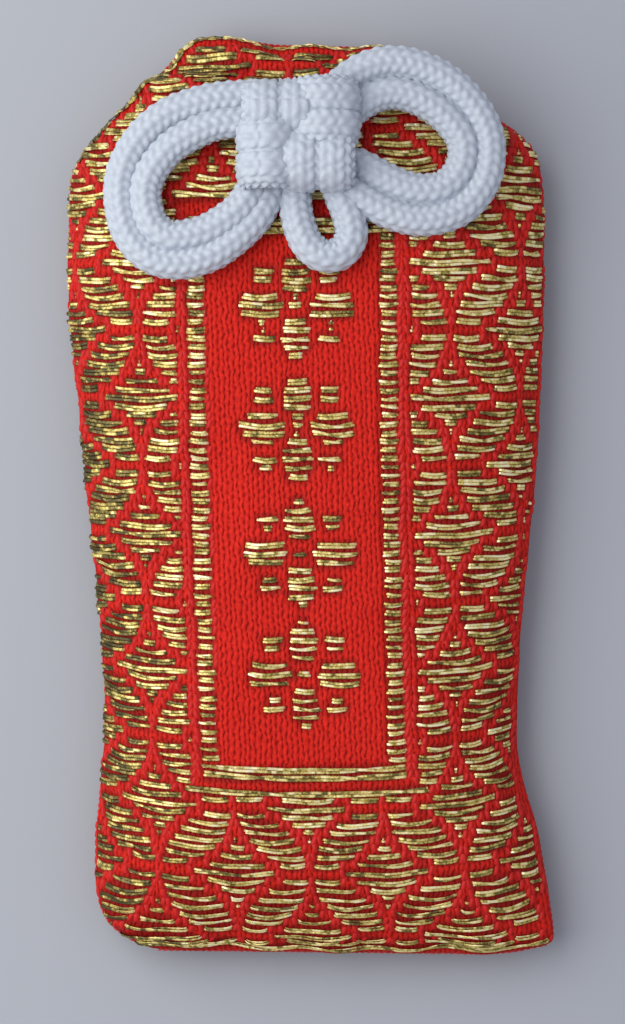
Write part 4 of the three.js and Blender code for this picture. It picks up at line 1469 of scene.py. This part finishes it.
# %% Sew the seams
seam_levels = np.linspace(-TOP + SEAM_END, TOP - SEAM_END, 60)
for name, sign in (("left", -1), ("right", 1)):
    width = half_width(np.full(len(seam_levels), sign), seam_levels) - THREAD_INSET
    seam_thread(name + "_stitches", np.column_stack([sign * width, seam_levels]), name + "_seam_thread")
END_SEAMS = (("foot_stitches", -TOP, "foot_seam_thread"), ("mouth_stitches", TOP, "mouth_thread"))
for name, level, node in END_SEAMS:
    ends = [float(half_width(np.array(sign), np.array(level))) - SEAM_END for sign in (-1, 1)]
    across = np.linspace(-ends[0], ends[1], 12)
    inside = np.full(len(across), level * (1 - THREAD_INSET / TOP))
    seam_thread(name, np.column_stack([across, inside]), node)

# %% [markdown]
# ## Lacing and eyelets
# Behind the knot the same cord goes down through two small stitched eyelets and across inside the pouch.
# The eyelets are overcast: a red thread winds round the rim of each hole. A torus would do at a distance,
# but a coil of thread shows its turns.

# %% Lacing cord
lacing_low, lacing_high = (np.array(corner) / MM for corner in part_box("lacing_cord"))
LACING_SHARE = 0.8
LACING_BEND = 1.5
BEND_ROUND = 0.3 * LACING_BEND
KNOT_ENTRY = (1.6, 0.4)
lacing_radius = CORD_DIAMETER * LACING_SHARE / 2
eyelet_y = (lacing_low[1] + lacing_high[1]) / 2
eyelets = (lacing_low[0] + lacing_radius, lacing_high[0] - lacing_radius)
bar = lacing_low[2] + lacing_radius
leg = [(0, KNOT[2] + rise) for rise in KNOT_ENTRY]
leg += [(0, bar + LACING_BEND), (BEND_ROUND, bar + BEND_ROUND), (LACING_BEND, bar)]
lacing_route = [(eyelets[0] + inwards, eyelet_y, level) for inwards, level in leg]
lacing_route += [(eyelets[1] - inwards, eyelet_y, level) for inwards, level in leg[::-1]]
lacing_line = smooth_line(lacing_route, STEP)
across = np.broadcast_to((0.0, 1.0, 0.0), lacing_line.shape)
points, faces, places = braid(lacing_line, across, width=LACING_SHARE, height=LACING_SHARE)
lacing = add_piece("lacing_braid", points, faces, cord_yarn)
store_places(lacing, "bead_place", places)
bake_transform(lacing)
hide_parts("lacing_cord")
print("lacing:", round(length_of(lacing_line), 1), "mm")

# %% Overcast eyelets
OVERCAST_TURNS = 26
OVERCAST_RADIUS = 0.32
OVERCAST_CLEAR = 0.25
OVERCAST_THREAD = 0.13
STEPS_PER_TURN = 10
round_rim = np.linspace(0, 2 * math.pi, OVERCAST_TURNS * STEPS_PER_TURN + 1)[:-1]
coil = OVERCAST_TURNS * round_rim
eyelet_points, eyelet_faces = [], []
for x in eyelets:
    rim_radius = lacing_radius + OVERCAST_CLEAR + OVERCAST_RADIUS * np.cos(coil)
    rim_plan = (x, eyelet_y) + rim_radius[:, None] * np.column_stack([np.cos(round_rim), np.sin(round_rim)])
    rim_row = np.interp(rim_plan[:, 1], front_lay["points"][:, CLOTH_COLUMNS // 2, 1], front_lay["weft"])
    rim_cloth, _ = on_cloth(front_lay, rim_plan[:, 0], rim_row)
    line = np.column_stack([rim_plan, rim_cloth[:, 2] + OVERCAST_RADIUS * np.sin(coil)])
    line = np.vstack([line, line[:1]])
    side = unit(np.cross(np.gradient(line, axis=0), (0.3, 0.2, 1.0)))
    top = unit(np.cross(side, np.gradient(line, axis=0)))
    first = len(eyelet_points) * len(line) * THREAD_SIDES
    points, faces = thin_tube(line, side, top, OVERCAST_THREAD, first)
    eyelet_points.append(points)
    eyelet_faces += faces
eyelet_stitches = add_piece("eyelet_stitches", np.concatenate(eyelet_points), eyelet_faces, sewing_thread)
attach(eyelet_stitches, "pouch")
print("eyelet points:", len(eyelet_stitches.data.vertices))

# %% [markdown]
# ## What the pouch holds
# Inside are a lining on each side, a thin pad of wadding, a card, and a wooden tablet in a paper sleeve.
# None of it shows while the pouch is shut, but each piece has its own finish. The linings could be sheets
# of their own, but it is simpler to move the laid cloths inwards, with the same rib weave at a finer
# pitch. The pad is a crowned slab of loose cotton. The card, the sleeve and the tablet are plain shapes,
# so they keep their solids and only get a finish.

# %% Linings
LINING_INSET = 0.75
LINING_THICKNESS = 0.25
LINING_EDGE, LINING_EVERY = 3, 6
lining_cotton, nodes, links, shader = start_material("lining_cotton", 0.85)
_, weave = weave_nodes(nodes, links, pitch=0.32, grain=0.45)
# Painted shade: the cotton darkens where the slits of its weave open.
links.new(colour_ramp(nodes, links, weave["Gap"], [
    (0.0, (0.72, 0.65, 0.53)),
    (0.9, (0.50, 0.43, 0.33)),
]), shader.inputs["Base Color"])
add_bump(nodes, links, shader, weave["Height"], strength=0.4, depth=0.08)


def lining_sheet(name, lay, node):
    """A plain sheet just inside one side of the pouch."""
    kept = slice(LINING_EDGE, -LINING_EDGE, LINING_EVERY)
    points = (lay["points"] - LINING_INSET * lay["normals"])[kept, kept]
    rows, columns = points.shape[:2]
    points = points.reshape(-1, 3)
    piece = add_piece(name, points, faced_out(grid_faces(rows, columns), lay), lining_cotton)
    store_places(piece, "cloth_place", points)
    thicken(piece, "cotton", LINING_THICKNESS)
    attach(piece, "pouch")
    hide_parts(node)
    print(name, "points:", rows * columns)


lining_sheet("front_cotton", front_lay, "front_lining")
lining_sheet("back_cotton", back_lay, "back_lining")

# %% Wadding pad
PAD_INSET = 4.3
PAD_DEPTH = 1.3
PAD_EDGE = 0.5
PAD_HEADROOM = 0.1
PAD_LUMP = 0.12
PAD_ROWS = 70
PAD_COLUMNS = 36
pad_low, pad_high = (np.array(corner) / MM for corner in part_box("wadding_pad"))
cotton_wadding, nodes, links, shader = start_material("cotton_wadding", 0.95)
fibre = noise_node(nodes, links, 600, detail=8)
links.new(colour_ramp(nodes, links, fibre, [
    (0.3, (0.78, 0.76, 0.70)),
    (0.7, (0.92, 0.91, 0.87)),
]), shader.inputs["Base Color"])
add_bump(nodes, links, shader, fibre, strength=0.8, depth=0.4)
shader.inputs["Sheen Weight"].default_value = 0.3

along = np.sin(np.linspace(-1, 1, PAD_ROWS + 1) * math.pi / 2)[:, None]
across = np.sin(np.linspace(-1, 1, PAD_COLUMNS + 1) * math.pi / 2)[None, :]
pad_y = pad_low[1] + (pad_high[1] - pad_low[1]) * (along + 1) / 2 + 0 * across
pad_x = across * (half_width(across + 0 * along, pad_y) - PAD_INSET)
crown = np.sqrt(swell(across, along))
lumps = PAD_LUMP * ripple(pad_x + 0.3 * pad_y, 9, 1.2) * crown
pad_rise = (pad_high[2] - pad_low[2] - PAD_EDGE - PAD_HEADROOM) * crown
pad_top = np.minimum(pad_low[2] + PAD_EDGE + pad_rise + lumps, pad_high[2])
above = front_lay["points"][::COARSE, ::COARSE].reshape(-1, 3)
apart = np.hypot(pad_x.reshape(-1, 1) - above[:, 0], pad_y.reshape(-1, 1) - above[:, 1])
pad_top = np.minimum(pad_top, (above[apart.argmin(axis=1), 2] - PAD_DEPTH).reshape(pad_top.shape))
pad_bottom = pad_low[2] + PAD_EDGE * (1 - crown)
upper = np.stack([pad_x, pad_y, pad_top], axis=-1).reshape(-1, 3)
lower = np.stack([pad_x, pad_y, pad_bottom], axis=-1).reshape(-1, 3)
pad_faces = closed_faces(PAD_ROWS + 1, PAD_COLUMNS + 1)
pad = add_piece("loose_wadding", np.concatenate([upper, lower]), pad_faces.tolist(), cotton_wadding)
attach(pad, "pouch")
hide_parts("wadding_pad")
print("wadding points:", len(pad.data.vertices))

# %% Card, paper and tablet finishes
def grained_finish(name, roughness, stretch, scale, dark, light, depth):
    """A finish with grain drawn out along one direction, such as board, paper or planed wood."""
    material, nodes, links, shader = start_material(name, roughness)
    place = nodes.new("ShaderNodeTexCoord")
    drawn_out = nodes.new("ShaderNodeMapping")
    drawn_out.inputs["Scale"].default_value = stretch
    links.new(place.outputs["Object"], drawn_out.inputs["Vector"])
    grain = noise_node(nodes, links, scale, detail=7, place=drawn_out.outputs["Vector"])
    stops = [(0.35, dark), (0.65, light)]
    links.new(colour_ramp(nodes, links, grain, stops), shader.inputs["Base Color"])
    add_bump(nodes, links, shader, grain, strength=0.5, depth=depth)
    return material


BOARD = ((0.46, 0.35, 0.20), (0.66, 0.53, 0.34))
PAPER = ((0.80, 0.76, 0.66), (0.92, 0.89, 0.81))
CYPRESS = ((0.52, 0.31, 0.13), (0.74, 0.50, 0.26))
HELD_FINISHES = {
    "stiffener_card": grained_finish("pulp_board", 0.9, (1, 1, 1), 900, *BOARD, depth=0.1),
    "paper_sleeve": grained_finish("soft_paper", 0.85, (1, 0.25, 1), 420, *PAPER, depth=0.06),
    "wood_tablet": grained_finish("planed_cypress", 0.6, (1, 0.06, 1), 650, *CYPRESS, depth=0.05),
}
for node, finish in HELD_FINISHES.items():
    slots = frame["nodes"][node].material_slots
    for slot in slots:
        slot.material = finish
    print(node, "finish:", finish.name, "slots:", len(slots))

# %% Update the view layer
bpy.context.view_layer.update()
